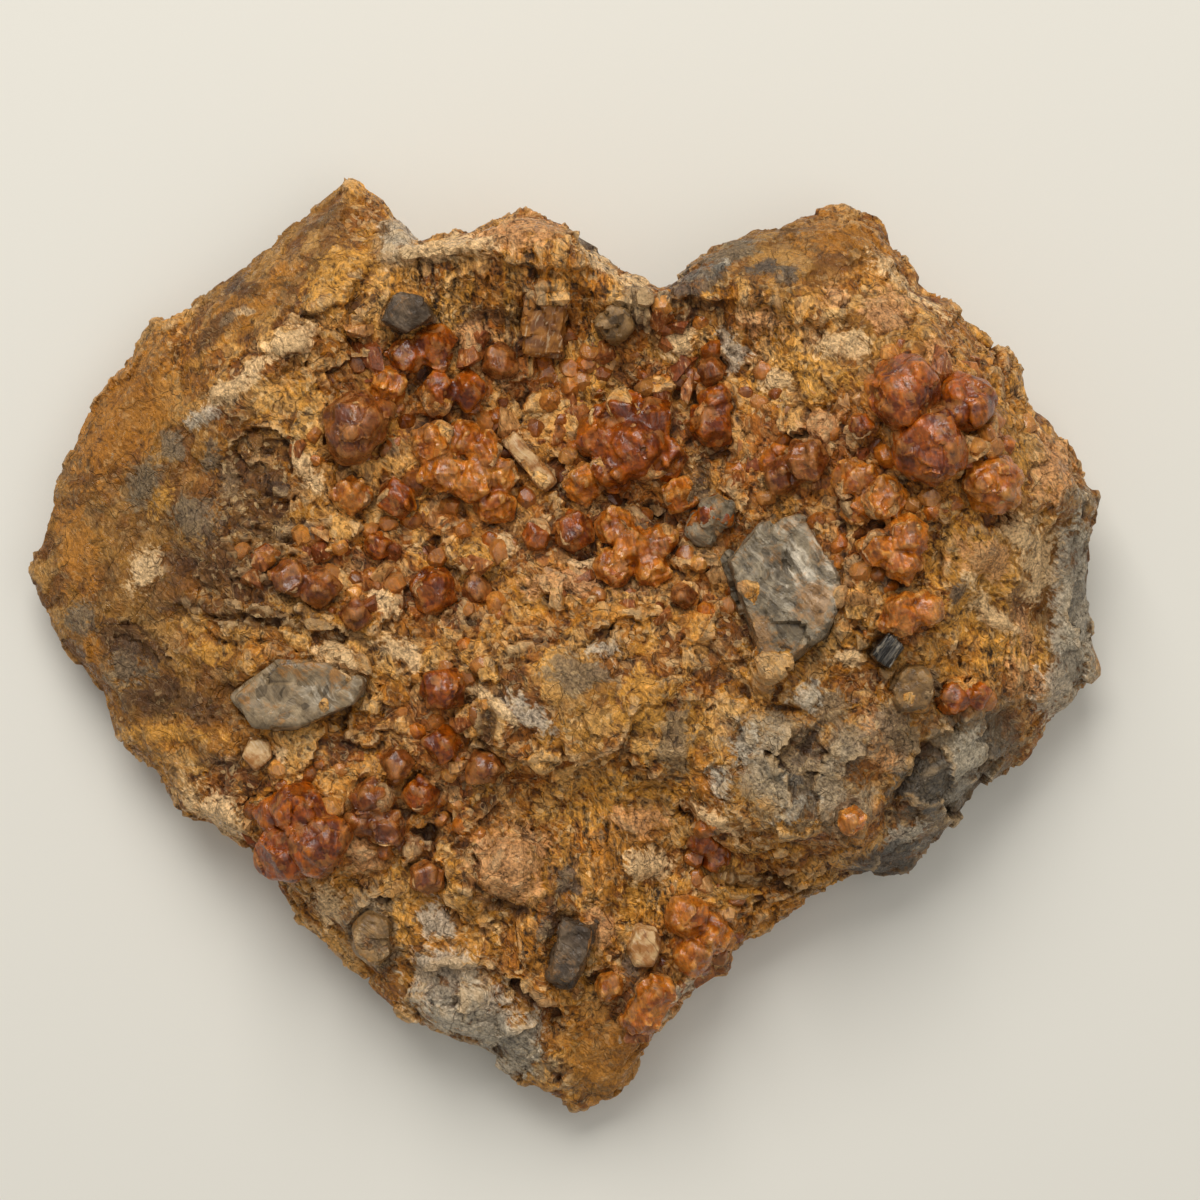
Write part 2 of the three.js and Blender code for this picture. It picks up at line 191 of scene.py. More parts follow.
def grains(points, size, seed):
    """Packed grains about one size across: how high each one's flat, tilted face stands here,
    from -1 to 1, how near its border is, 0 on the border, and a number of its own, -1 to 1."""
    cell = points / size
    base = np.floor(cell).astype(np.int64)
    nearest = np.full(len(points), 9.0)
    second = np.full(len(points), 9.0)
    face = np.zeros(len(points))
    own = np.zeros(len(points))
    for step in itertools.product((-1, 0, 1), repeat=3):
        there = base + step
        arm = cell - there - 0.5 - 0.42 * np.stack([scrambled(there, seed + i) for i in range(3)], axis=1)
        distance = np.linalg.norm(arm, axis=1)
        tilt = np.stack([scrambled(there, seed + 3 + i) for i in range(3)], axis=1)
        lift = scrambled(there, seed + 6)
        closer = distance < nearest
        second = np.where(closer, nearest, np.minimum(second, distance))
        nearest = np.where(closer, distance, nearest)
        face = np.where(closer, 0.9 * np.sum(arm * tilt, axis=1) + 0.5 * lift, face)
        own = np.where(closer, lift, own)
    return face, second - nearest, own


def patches(points, spots, feather=0.5):
    """How far inside a set of oval patches each point is, seen from above: 0.5 on their borders.
    A patch is x, y, half width, half height and a turn in degrees."""
    inside = np.zeros(len(points))
    for x, y, wide, high, turn, *_ in spots:
        across, up = points[:, 0] - x, points[:, 1] - y
        cos, sin = math.cos(math.radians(turn)), math.sin(math.radians(turn))
        reach = np.hypot((across * cos + up * sin) / wide, (up * cos - across * sin) / high)
        inside = np.maximum(inside, 1 - feather * reach)
    return inside


def ground_of(points, spots, gain, cut, feather=0.5):
    """A soft mask, 0 to 1, of a set of oval patches: a greater gain makes a harder border."""
    return np.clip(patches(points, spots, feather) * gain - cut, 0, 1)


def raised(face, edge):
    """Tilted grain faces with a furrow along the borders."""
    return face + 0.5 * np.minimum(edge, BORDER) - 0.15


def cliff(points, line, height, reach):
    """A break along a line seen from above: the rock on its left is lifted and that on its right
    is lowered, most at the line and nothing at the reach. The break fades out at both ends."""
    nearest = np.full(len(points), 1e9)
    side = np.zeros(len(points))
    for (x0, y0), (x1, y1) in zip(line, line[1:]):
        run = np.array([x1 - x0, y1 - y0])
        arm = points[:, :2] - [x0, y0]
        along = np.clip(arm @ run / (run @ run), 0, 1)
        off = arm - along[:, None] * run
        distance = np.hypot(off[:, 0], off[:, 1])
        left = np.sign(run[0] * arm[:, 1] - run[1] * arm[:, 0])
        side = np.where(distance < nearest, left, side)
        nearest = np.minimum(nearest, distance)
    ends = [np.hypot(*(points[:, :2] - line[end]).T) for end in (0, -1)]
    fade = np.clip(np.minimum(*ends) / reach, 0, 1)
    return height * side * fade * np.clip(1 - nearest / reach, 0, 1)


# Where the rock has broken in steps: points along each break with the high side on the left,
# half the height of the step and how far it reaches.
CLIFFS = [
    ([(12, -15.5), (14.5, -20.5), (19, -22), (24.5, -24), (29, -24.6), (34, -23)], 0.7, 4),
    ([(-10, -9), (-6, -13), (0, -14.5), (5, -14), (9, -13.5), (13, -15.5)], 0.6, 4),
    ([(16, 3.5), (8, 5), (0, 4.5), (-6, 2.5), (-10, -1.5), (-10, -9)], 1.0, 3.5),
    ([(-33.5, 27), (-28.5, 33), (-26, 36.5), (-20, 41)], 0.8, 4),
    ([(-22, 41), (-14, 41.6), (-7, 42.4), (0, 41.4), (4, 40), (9.5, 37.6), (15, 37), (24, 36), (31, 35)],
     0.9, 4),
    ([(-42, 4.5), (-33, 3), (-27, 2), (-20, 1)], 0.8, 3),
    ([(-38, -1), (-30, -1), (-22, -2), (-18.5, -5)], -0.6, 3),
    ([(48, -6.5), (51.5, 0.5), (52.5, 9.5), (52.8, 17)], 1.2, 4),
    ([(34, -23), (36, -16), (37.5, -9.5), (48, -6.5)], 1.1, 4),
    ([(-20, -34), (-14, -35.5), (-6, -36), (-1.5, -40), (1, -44)], 1.0, 3.5),
    ([(17.5, -6), (23, -9), (31, -6), (34, -3)], -0.7, 3),
    ([(12, 26), (16, 20), (19, 17), (25, 15.5)], -0.6, 3),
    ([(-23, -14), (-15, -13), (-11, -15)], 0.8, 3),
    ([(-30, -27), (-22, -24), (-14, -23), (-9, -20)], 0.6, 3),
]
# Lumps and patches of the stone's minerals and stains, seen from above: x, y, half width, half
# height, turn in degrees and how far the lump stands out.
CREAM = [
    (-36, 28, 2.4, 1.1, 30, 0.4), (-32.5, 29.5, 2.4, 1.5, 45, 0.6), (-29, 33, 2.6, 1.2, 40, 0.6),
    (-35, 36, 1.8, 0.5, 35, 0), (-13, 42.6, 5.6, 1.2, 8, 0.4), (7.5, 40, 2.8, 1.0, -20, 0.4),
    (46, 4, 4.4, 1.1, -42, 0.7), (51.5, 9.5, 2, 4.5, 0, 0.5), (-38.5, -18, 4, 2.4, -35, 0.8),
    (-24.5, -1.5, 2.4, 1.6, -30, 0.8), (-45.5, 8.5, 1.7, 2.9, -25, 0.8), (-17.5, -0.5, 2.6, 1.2, -45, 0.5),
    (-19.5, 5, 1.1, 2.0, 30, 0.5), (-6.5, 11, 1.2, 1.2, 0, 0.6), (12.5, 34, 1.6, 2.2, 10, 0.8),
    (9, -24, 2.2, 2.2, 0, 0.8), (-29.5, 12.5, 1.4, 1.0, 0, 0.5), (-31.5, -12, 1.4, 1.0, 0, 0.5),
    (-26, -28.5, 1.6, 2.4, 30, 0.5), (37, 39, 4.4, 0.9, -40, 0.3), (30, 33, 2.4, 1.4, 0, 0.5),
    (49, 12, 1.4, 3, 10, 0.4), (17, -19, 3.6, 1.0, -25, 0.8), (22.5, 28.5, 1.4, 1.2, 0, 0.6),
    (-28, 20, 1.0, 3, 30, 0.4), (3, 9, 2.4, 0.7, -10, 0.3), (-36, 17.5, 0.8, 2, 20, 0),
    (31, -1, 1.4, 1, 0, 0.4), (-8, -5.5, 4, 0.7, -42, 0.3), (3, 42, 2.6, 0.8, -25, 0.3),
]
PALE_GREY = [
    (-18, 44, 1.9, 2.4, 0, 0.8), (-10.5, -40, 6, 3.4, -28, 1.0), (-12.5, -35, 4, 2, -10, 0.8),
    (-5, -43.5, 2.4, 3.8, -20, 0.8), (11.5, -39, 4, 0.9, 35, 0.4), (56, 4, 2.4, 9, 0, 0.5),
    (18, 32, 1.4, 2.4, 45, 0.5), (-4, -7, 3.2, 1.2, -38, 0.4), (26, -5, 2, 1.4, 0, 0.5),
    (19.5, -10.5, 1.4, 2, -20, 0.4), (16.5, -15, 1.4, 1.6, 20, 0.4), (25, -17.5, 2.2, 0.8, 30, 0.4),
    (-39, 25, 2, 0.9, 40, 0.3), (15.5, 40.4, 2.8, 0.5, 30, 0.2), (4.5, -0.5, 1.8, 1.2, 0, 0.5),
    (-14, -30, 1.4, 2.2, 20, 0.5), (54, -5, 2.6, 3, 0, 0.6), (43.5, -16, 3, 1.2, 45, 0.4),
    (37, -21, 2.4, 1.0, 35, 0.3), (43.5, -11.5, 3.4, 1.8, 30, 0.4),
]
GREY = [
    (-43, 22, 1.5, 1.8, 0, 0), (-39.8, 14.5, 3.2, 2.4, 0, 0.3), (-46, 17.8, 1.6, 2.6, -25, 0.2),
    (-38.5, 21, 1.7, 1.1, 40, 0.3), (-53, 3, 2.2, 1.8, 0, 0.2), (-48, -2.5, 2.4, 2.6, 0, 0.2),
    (43, -13, 8, 4.4, 35, 0.6), (25, -13, 7.5, 6, -20, 0), (2, -3, 3.4, 1.6, -10, 0),
    (57, 5, 2.2, 11, 0, 0.4), (-21, -31, 2.4, 4, 20, 0.5), (-8, -43, 8, 2.4, -30, 0),
    (14, 16, 1.8, 2.8, 0, 0.4), (8, 37, 2.4, 2, 0, 0.9), (12, -10, 1.4, 4, -15, 0), (30, -17, 3, 3, 0, 0.4),
    (38, -4, 2, 1.6, 0, 0.4), (56.5, 16, 2.4, 1.2, 0, 0.4), (9.5, 12.5, 1.8, 1.0, -40, 0),
    (18, 42.5, 4, 1.0, 20, 0), (36, -9, 1.6, 3, 20, 0.3), (42, -18, 6.5, 4, 48, 0.5),
    (31, -10, 3, 2.4, 0, 0.3), (28, -6, 3, 2, -20, 0.3),
]
SLATE = [
    (14, 39.4, 3, 1.3, 25, 0.2), (3.5, 43.3, 3.6, 1.0, -35, 0.2), (22, 40.2, 2, 1.3, 0, 0.5),
    (-30.5, 16.5, 1.5, 1.2, 0, 0.4), (-28, 12.5, 1.4, 1.0, 0, 0.3), (35, -23.8, 4, 1.8, 15, 0.5),
    (39.5, -14.5, 3.4, 2.4, 40, 0.5), (24, -14, 3, 1.0, -35, 0.3), (0.5, -25, 1.4, 1.6, 0, 0.6),
    (-1.5, -31, 1.2, 2.6, -10, 0.4), (-38.5, 42, 2.4, 0.7, 25, 0), (34, 7.5, 0.9, 1.4, 0, 0.3),
    (7, -35.5, 1.0, 2.2, 0, 0), (42, 6, 0.8, 1.2, -40, 0.3),
]
DARK = [
    (-33.5, 16, 4.2, 8, 12, 0), (-35, 8.5, 7.5, 4, -10, 0), (-35, 3.4, 9, 1.0, -8, 0),
    (9.5, 14.5, 1.2, 1.2, 0, -0.8), (15, 19.5, 1.2, 2, 0, -0.6), (-15, -21, 1.8, 1.0, 0, -1.2),
    (-6, -28, 2, 1.0, 0, -1.2), (30, 14, 0.7, 2.4, 0, -0.8), (35.3, 7, 1.2, 0.9, 0, -0.8),
    (22, -26, 7, 0.8, -12, 0), (0, -29, 1.2, 3, 10, 0), (-6, 36, 5, 0.8, 0, 0), (-41, -6, 5, 1.3, -25, 0),
    (12, 36, 5, 0.8, 0, 0), (-12.5, 8.5, 0.9, 0.9, 0, -1.2), (-10.5, 3.5, 1.2, 0.9, 0, -1.2),
    (-23, 1.2, 3.6, 0.7, -20, 0), (-48.5, 0.5, 4.5, 2.0, -30, 0), (-15.5, 23, 0.8, 1.2, 0, -0.6),
    (-35, 39, 2, 1, 20, 0), (-36, -12, 3, 0.9, 20, 0), (-46, -6, 3, 1.4, 0, 0), (-37.5, 34.5, 4, 1, 38, 0),
    (26.5, -10, 0.8, 3, -30, -0.4), (-8, -9, 0.8, 3, 0, -0.6),
]
OCHRE = [
    (-48, 26, 5, 8, -35, 0), (-40, -9.5, 7, 2.4, 0, 0.2), (-54, 11, 2.6, 5, 10, 0), (-36, 36, 7, 2, 35, 0),
    (6, -22, 4.4, 7, 10, 0.9), (5, -45.5, 3.8, 4.4, 0, 0.8), (-4, -32, 2.4, 3.8, 20, 0.8),
    (31.5, -20.5, 2.4, 1.5, 0, 0.5), (22, -30, 7, 2.4, 25, 0), (42.5, 0.5, 3.4, 2.6, 0, 0.5),
    (31, 44, 6, 2, 0, 0.4), (21.5, -3, 1.4, 2.4, 0, 0.3), (5, 3.5, 6, 1.2, 0, 0),
    (34.5, 41, 1.9, 1.9, 0, 0.8), (-14, -30.5, 3.6, 3, 0, 0.5), (-28, -19.5, 6, 5.5, 0, 1.1),
    (40, 24.5, 8, 7.4, 0, 1.7), (14, -14, 1.6, 3.4, 20, 0), (0, 41, 6, 1.2, -15, 0),
    (-52, 0.5, 1.3, 2.4, 0, 0),
]
GOLDEN = [
    (-44, 16, 1.4, 2.2, -25, 0.2), (-39, -1, 2.6, 1.3, 0, 0.4), (-43.5, -9.5, 5, 1.3, 0, 0.3),
    (-25, 39.5, 4, 2.4, 40, 0.3), (12.5, 32.5, 2.2, 2, 0, 0.9), (-10.5, 9.5, 3.8, 1.7, 0, 0.7),
    (8.5, -6, 2.6, 3.4, 0, 0.5), (13, -9, 1.3, 4.4, -15, 0.5), (47.5, 20, 2.6, 3.6, 10, 0.5),
    (-20, 25, 2, 3, 0, 0.5), (27, 29, 3.4, 2.4, 0, 0.6), (8, -28, 2.4, 3, 0, 0.6), (2, 30, 3, 3, 0, 0.6),
    (-14, 35, 2, 3, 0, 0.4), (-18, -30, 1.6, 2, 0, 0.5), (45, 12, 2, 3.4, 0, 0.6), (-27, -6, 2, 1, 0, 0.3),
    (20, -21.5, 2, 0.8, -20, 0.3), (19, -26, 4, 2.2, -10, 0.5), (3, -18, 5, 1.8, 0, 0.2),
    (28, -26.5, 3, 1.6, 10, 0.4), (23, -11, 0.8, 4.5, -25, 0.3), (29, -14, 3.6, 0.8, -35, 0.3),
    # The patch at 6, -15.6 is painted light: it makes the knob's shaded south wall paler.
    (20, -16, 3, 1, -30, 0.3), (6, -15.6, 6, 1.4, 0, 0), (43.5, 8, 5, 6.4, 0, 0),
    (48.5, -0.5, 5, 3.6, -30, 0.3), (-17, 15, 2, 1.4, 0, 0.5),
]
PINK_TAN = [
    (-5.5, -23.5, 4.2, 3.8, 20, 1.5), (-9.5, 33.5, 2.1, 2.3, 0, 1.0), (34.5, 36, 2, 2, 0, 0.6),
    (50.5, -4, 3.6, 2.2, -10, 0.8), (34, -10.5, 1.8, 3.6, 20, 0.4), (27, 23.5, 2.1, 2.3, 0, 1.0),
    (53.5, 19.5, 2.6, 3.4, 20, 0.9), (9.5, -38, 3.8, 1.8, -30, 0.9), (-6.5, 30, 1.4, 1.6, 0, 0.8),
    (21, 35.5, 3, 1.6, 0, 0.7), (40, 31, 1.6, 1.4, 0, 0.5), (-33, 8, 2, 0.8, 0, 0.3),
    (0, 7, 4, 1.4, 0, 0.5), (29, 37.5, 1.6, 1.2, 0, 0.5), (-22, -23, 2, 1.4, 0, 0.7),
    (4, -30, 1.6, 2.4, 0, 0.5), (-11, -12, 1.8, 1.6, 0, 0.6), (-4.5, 44.8, 5, 1.8, 10, 0.3),
    (50, 1.5, 1.6, 2.4, 0, 0.3), (45, 10, 3, 2.2, 20, 0.3), (8, -18.5, 2.6, 1.4, 0, 0.4),
]
LUMPS = {
    "cream": CREAM, "pale_grey": PALE_GREY, "grey": GREY, "slate": SLATE,
    "dark": DARK, "ochre": OCHRE, "golden": GOLDEN, "pink_tan": PINK_TAN,
}
GARNET_GROUND = [
    (-13, 20, 11, 9, 0), (-17, 30, 5, 4, 0), (6, 20, 9, 6, 0), (5, 11, 9, 4.6, 0), (23, 20, 7, 5, 0),
    (33, 14, 4.6, 8, 0), (38, 23, 8, 7, 0), (-24, 8, 8, 4, -15), (-13, 6, 5, 4, 0), (-13, -9, 3.6, 8, 0),
    (-27, -19, 7, 5, 0), (-19, -18, 7, 5, 0), (15, -32, 5, 5, 0), (9, -38, 4, 3, 0), (37, 3, 4, 3, 0),
    (14, 26, 4, 5, 0), (14, 6, 5, 3, 0), (43, -5, 3, 2, 0), (16, -22, 2.5, 2.5, 0), (3, 30, 14, 5, 0),
]
# Quiet ground is worn or cleaved rock with no lumps on it.
QUIET_SPOTS = [
    (-50, 14, 15, 26, -10), (-34, 40, 10, 7, 45), (-42, -6, 10, 9, 0), (25, 43, 12, 5, 5),
    (43, -12, 10, 7, 35), (4, -46, 5, 5, 0), (-28, 46, 6, 8, 0), (55, 4, 4, 14, 0), (36, -24, 5, 3, 0),
]
SOFT_SPOTS = [
    (34, 33, 9, 8, -30), (48, 20, 5, 8, 20), (22, 38, 8, 3, 0), (48, 6, 7, 8, 0), (-20, 42, 5, 4, 0),
    (2, -5, 10, 5, -5), (-5.5, -23.5, 4, 4, 0), (6, -24, 5, 7, 0),
]
LEDGE_SPOTS = [(-33, 3, 9, 5, -10), (-32, 9, 5, 5, 0), (22, -27, 9, 4, 15)]
STREAK_SPOTS = [
    (-2, 36, 17, 7.5, 0), (19, 35, 10, 5, 0), (4, -22, 5, 8, 0), (10, -30, 5, 6, 0), (-16, 37, 6, 6, 0),
    (48, -2, 6, 4, 0), (-4, -32, 3, 4, 0),
]
# Glassy ground is smooth grey quartz, broken in flat faces.
GLASSY_SPOTS = [
    (43, -13, 9, 5, 35), (57, 3, 3.4, 13, 0), (36, -24, 5, 2.4, 10), (-10, -40, 8, 4.5, -28),
    (-18, 44, 3, 3, 0), (-22, -31, 3, 5, 20), (26, -13, 9, 5.5, -20), (40, -18.5, 7, 3.5, 50),
]
# Glittering ground is a dark felt of small mica and hornblende grains.
GLITTER_SPOTS = [
    (-33.5, 15, 4.5, 8, 12), (-34, 7, 8.5, 3.6, -10), (-43, -0.5, 8, 2.4, -25), (-40, -7, 6, 1.6, -15),
]
# A crust of stone laps over some of the crystals.
COVER_SPOTS = [(22.5, -3, 4.5, 2.6, -25), (30.5, 4.5, 1.8, 3.5, 0), (-2, 38, 3, 1.6, 0), (-23, -2, 2, 1.4, 0)]

stone = copy_of("matrix", "stone_rough")
recast(stone, ROUGH_CELL)
points, _ = points_of(stone.data)
on_floor = points[:, 2] < UNDERSIDE
worn = neighbour_mean(stone.data, points, SOFTENING)
worn[on_floor] = points[on_floor]
put_points(stone.data, worn)
_, normals = points_of(stone.data)
bent = worn + 1.6 * shifts(worn, 5, 61, 3)
rise = sum(cliff(bent, line, height, reach) for line, height, reach in CLIFFS)
worn[:, 2] += rise * np.clip(normals[:, 2] * 1.4, 0, 1) * ~on_floor
put_points(stone.data, worn)

# The crystals' own room is filled, so that the rock closes round them, and then sunk beneath them.
# Here and there a crust of rock is left on them.
seated = [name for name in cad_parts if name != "matrix"]
merge_in(stone, [copy_of(name, name + "_seat", SOCKET_GAP) for name in seated])
recast(stone, STONE_CELL)


def reach_to(names):
    """How far each of the stone's points is from the nearest of some nodes, in mm."""
    shells = bmesh.new()
    for name in names:
        shells.from_mesh(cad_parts[name].data)
    tree = BVHTree.FromBMesh(shells)
    shells.free()
    return np.array([tree.find_nearest(Vector(p * MM))[3] for p in points]) / MM


points, _ = points_of(stone.data)
on_floor = points[:, 2] < UNDERSIDE
worn = neighbour_mean(stone.data, points, 1)
worn[on_floor] = points[on_floor]
put_points(stone.data, worn)
points, normals = points_of(stone.data)
to_garnet = reach_to([name for name in seated if name.startswith("garnet_")])
to_other = reach_to([name for name in seated if not name.startswith("garnet_")])
to_crystal = np.minimum(to_garnet, to_other)

upward = np.clip(normals[:, 2], 0, 1)
quiet = ground_of(points, QUIET_SPOTS, 2.4, 0.9)
quiet = np.maximum(quiet, 0.55 * ground_of(points, SOFT_SPOTS, 2.4, 0.9))
streaks = ground_of(points, STREAK_SPOTS, 3, 1.2)
glassy = ground_of(points, GLASSY_SPOTS, 4, 1.6)
crystal_ground = ground_of(points, GARNET_GROUND, 2, 0.7, feather=0.4)
ground = points + 0.9 * shifts(points, 4, 81, 3)
solid = ground_of(ground, CREAM + PALE_GREY + GREY + SLATE + PINK_TAN, 4, 1.7)
covered = ground_of(ground, COVER_SPOTS, 5, 2.2)
glitter = ground_of(ground, GLITTER_SPOTS, 4, 1.6)
free = np.maximum(np.clip((to_crystal - 0.3) / 0.7, 0, 1), covered)
rough = (1 - quiet) * (1 - 0.7 * streaks) * (1 - 0.6 * solid) * (1 - 0.8 * glassy)
bent = points + 0.4 * shifts(points, 1.8, 5, 2)
big_face, _, _ = grains(bent, BIG_GRAIN, 11)
block_face, block_edge, block_own = grains(bent, BLOCK_GRAIN, 23)
small_face, small_edge, _ = grains(bent, SMALL_GRAIN, 37)
glass_face, _, glass_own = grains(bent, GLASS_GRAIN, 53)
glitter_face, _, _ = grains(bent * [0.6, 1, 1], GLITTER_GRAIN, 67)
lift = (0.2 + 0.7 * rough) * big_face
lift += (0.08 + 0.6 * rough) * raised(block_face, block_edge)
lift += (0.05 + 0.13 * rough + 0.28 * crystal_ground * rough) * raised(small_face, small_edge)
lift += 0.8 * glassy * glass_face + 0.4 * glitter * glitter_face + 0.06 * swells(points, 1.2, 71, 2)
lift += quiet * (1 - upward) * (0.3 * block_face + 0.2 * small_face)

# Flakes of mica and cleaved feldspar overlap, drawn out to the lower right.
drawn = bent @ np.array([[0.26, 0.7, 0], [-0.26, 0.7, 0], [0, 0, 0.7]])
flake_face, _, _ = grains(drawn, FLAKE, 43)
lift += 0.26 * rough * (1 - 0.7 * crystal_ground) * flake_face

# Ledges are thin beds broken back one after another; streaks are columns of fibrous crystals.
bed = points[:, 1] + 0.18 * points[:, 0] + 1.2 * swells(points, 7, 41, 2)
lift += ground_of(points, LEDGE_SPOTS, 2, 0.8) * (0.9 * (bed / BED - np.floor(bed / BED)) - 0.45)
columns = points * [1, 0.16, 0.16] + 0.7 * swells(points, 5, 53)[:, None]
column_face, column_edge, column_own = grains(columns, COLUMN, 57)
column_swell = swells(columns, 0.8, 61, 2)
lift += streaks * (0.6 * column_face + 0.4 * np.minimum(column_edge, 0.4) + 0.25 * column_swell)

# Lumps of other minerals stand out of the rock, each with a break round it, and holes go in.
for spot in sum(LUMPS.values(), []):
    if spot[5]:
        reach = 2 * (1 - patches(ground, [spot]))
        lift += spot[5] * np.clip(2.2 * (1 - reach), 0, 1) * upward
lift += covered * (0.9 - lift * 0.4)

patchy = swells(points, 3.2, 73, 2)
beside = np.clip((0.85 - upward) * 4, 0, 1)
bare_garnet = np.maximum(np.clip(0.6 + 1.3 * patchy, -0.6, 1), 1 - 1.6 * beside)
bare_garnet *= np.clip((BARE_WITHIN - to_garnet) / BARE_FADE, 0, 1)
bare_other = np.clip(0.8 + 1.3 * patchy, -0.4, 1) * np.clip((BARE_WITHIN - to_other) / BARE_FADE, 0, 1)
lift = lift * free - SUNK * (1 - covered) * np.where(to_garnet < to_other, bare_garnet, bare_other)
moved = points + normals * lift[:, None]
moved[:, 2] = np.where(on_floor, np.maximum(points[:, 2], 0), np.maximum(moved[:, 2], 0.05))
put_points(stone.data, moved)

# How far each point lies in a hollow or stands on a crest: the finishes paint the hollows darker (painted
# shade) and the crests paler (painted highlight or glow).
hollow = neighbour_mean(stone.data, moved, 14) - moved
hollow = np.clip(np.sum(hollow * normals, axis=1) * 1.5, -1, 1)
masks = {
    **{name: patches(ground, spots) for name, spots in LUMPS.items()},
    "hollow": 0.5 + 0.5 * hollow,
    "crystal_ground": crystal_ground,
    "streaks": streaks,
    "quiet": quiet,
    "druse": crystal_ground * upward * (to_crystal > 0.7),
    "vug": crystal_ground * upward * (to_crystal > 0.9),
    "solid": solid,
    "glassy": glassy,
    "lump": np.where(glassy > 0.4, glass_own, np.where(streaks > 0.4, column_own, block_own)),
}
for mask_name, values in masks.items():
    put_mask(stone.data, mask_name, values)

under = stone.vertex_groups.new(name="underside")
under.add(np.nonzero(moved[:, 2] < THINNED_BELOW)[0].tolist(), 1.0, "REPLACE")
thinned = stone.modifiers.new("thinned underside", "DECIMATE")
thinned.ratio = THINNED
thinned.vertex_group = "underside"
settle(stone)
thinned = stone.modifiers.new("thinned", "DECIMATE")
thinned.ratio = min(1, STONE_MOST_FACES / (2 * len(stone.data.polygons)))
settle(stone)
stone.vertex_groups.clear()
stone.data.shade_smooth()
stone.data.set_sharp_from_angle(angle=math.radians(SHARP))


DARKEST_TONE = 0.12


def start_finish(name, roughness=0.8):
    """A new finish: its tree, its shader and the place on the piece, in metres."""
    finish = bpy.data.materials.new(name)
    finish.use_nodes = True
    tree = finish.node_tree
    shader = tree.nodes["Principled BSDF"]
    shader.inputs["Roughness"].default_value = roughness
    return finish, tree, shader, tree.nodes.new("ShaderNodeTexCoord").outputs["Object"]


def feed(tree, socket, value):
    if isinstance(value, bpy.types.NodeSocket):
        tree.links.new(value, socket)
    else:
        socket.default_value = value


def mottle(tree, place, size, detail=3, stretch=(1, 1, 1), turn=0):
    """Cloudy mottling about one size across, in mm, round 0.5, drawn out along axes that are
    turned by some degrees."""
    turned = tree.nodes.new("ShaderNodeMapping")
    turned.vector_type = "TEXTURE"
    turned.inputs["Scale"].default_value = stretch
    turned.inputs["Rotation"].default_value = (0, 0, math.radians(turn))
    tree.links.new(place, turned.inputs["Vector"])
    cloud = tree.nodes.new("ShaderNodeTexNoise")
    cloud.inputs["Scale"].default_value = 1 / (size * MM)
    cloud.inputs["Detail"].default_value = detail
    cloud.inputs["Roughness"].default_value = 0.62
    tree.links.new(turned.outputs["Vector"], cloud.inputs["Vector"])
    return cloud.outputs["Fac"]


def vector_step(tree, kind, first, second):
    step = tree.nodes.new("ShaderNodeVectorMath")
    step.operation = kind
    feed(tree, step.inputs[0], first)
    feed(tree, step.inputs[1], second)
    return step.outputs["Value" if kind == "DOT_PRODUCT" else "Vector"]


def warped(tree, place, size, amount):
    """The place, shifted by soft noise, so that patterns drawn on it wander. In mm."""
    cloud = tree.nodes.new("ShaderNodeTexNoise")
    cloud.inputs["Scale"].default_value = 1 / (size * MM)
    cloud.inputs["Detail"].default_value = 1.2
    tree.links.new(place, cloud.inputs["Vector"])
    shift = vector_step(tree, "SUBTRACT", cloud.outputs["Color"], (0.5, 0.5, 0.5))
    shift = vector_step(tree, "MULTIPLY", shift, (amount * MM * 2,) * 3)
    return vector_step(tree, "ADD", place, shift)


def facets(tree, place, size):
    """Packed broken grains about one size across, in mm: three random values for each, and the
    height of its flat tilted face in sizes."""
    cells = tree.nodes.new("ShaderNodeTexVoronoi")
    cells.inputs["Scale"].default_value = 1 / (size * MM)
    tree.links.new(place, cells.inputs["Vector"])
    arm = vector_step(tree, "SUBTRACT", place, cells.outputs["Position"])
    tilt = vector_step(tree, "SUBTRACT", cells.outputs["Color"], (0.5, 0.5, 0.5))
    height = sum_of(tree, "MULTIPLY", vector_step(tree, "DOT_PRODUCT", arm, tilt), 2 / (size * MM))
    parted = tree.nodes.new("ShaderNodeSeparateColor")
    tree.links.new(cells.outputs["Color"], parted.inputs["Color"])
    return [*parted.outputs[:3], height]


def sum_of(tree, kind, first, second, third=None):
    step = tree.nodes.new("ShaderNodeMath")
    step.operation = kind
    feed(tree, step.inputs[0], first)
    feed(tree, step.inputs[1], second)
    if third is not None:
        feed(tree, step.inputs[2], third)
    return step.outputs[0]


def between(tree, value, low, high, to_low=0.0, to_high=1.0):
    """A soft step of a value from low to high."""
    ramp = tree.nodes.new("ShaderNodeMapRange")
    ramp.interpolation_type = "SMOOTHSTEP"
    feed(tree, ramp.inputs["Value"], value)
    ramp.inputs["From Min"].default_value = low
    ramp.inputs["From Max"].default_value = high
    ramp.inputs["To Min"].default_value = to_low
    ramp.inputs["To Max"].default_value = to_high
    return ramp.outputs["Result"]


def tinted(tree, amount, first, second, how="MIX"):
    """The first colour, with an amount of the second on it."""
    mix = tree.nodes.new("ShaderNodeMix")
    mix.data_type = "RGBA"
    mix.blend_type = how
    feed(tree, mix.inputs["Factor"], amount)
    feed(tree, mix.inputs["A"], first)
    feed(tree, mix.inputs["B"], second)
    return mix.outputs["Result"]


def mask_of(tree, name):
    attribute = tree.nodes.new("ShaderNodeAttribute")
    attribute.attribute_name = name
    return attribute.outputs["Fac"]


def paint(red, green, blue):
    """A colour given as it looks on a screen, 0 to 255, for a shader."""
    return tuple(((c / 255 + 0.055) / 1.055) ** 2.4 for c in (red, green, blue)) + (1.0,)


def times(tree, first, second):
    return sum_of(tree, "MULTIPLY", first, second)


def laid(tree, colour, shade, pattern, low, high, most=1.0, within=1.0):
    """A colour with a shade laid on it where a pattern passes from low to high, and within a mask."""
    amount = between(tree, pattern, low, high, 0, most)
    if within != 1.0:
        amount = times(tree, amount, within)
    return tinted(tree, amount, colour, paint(*shade))


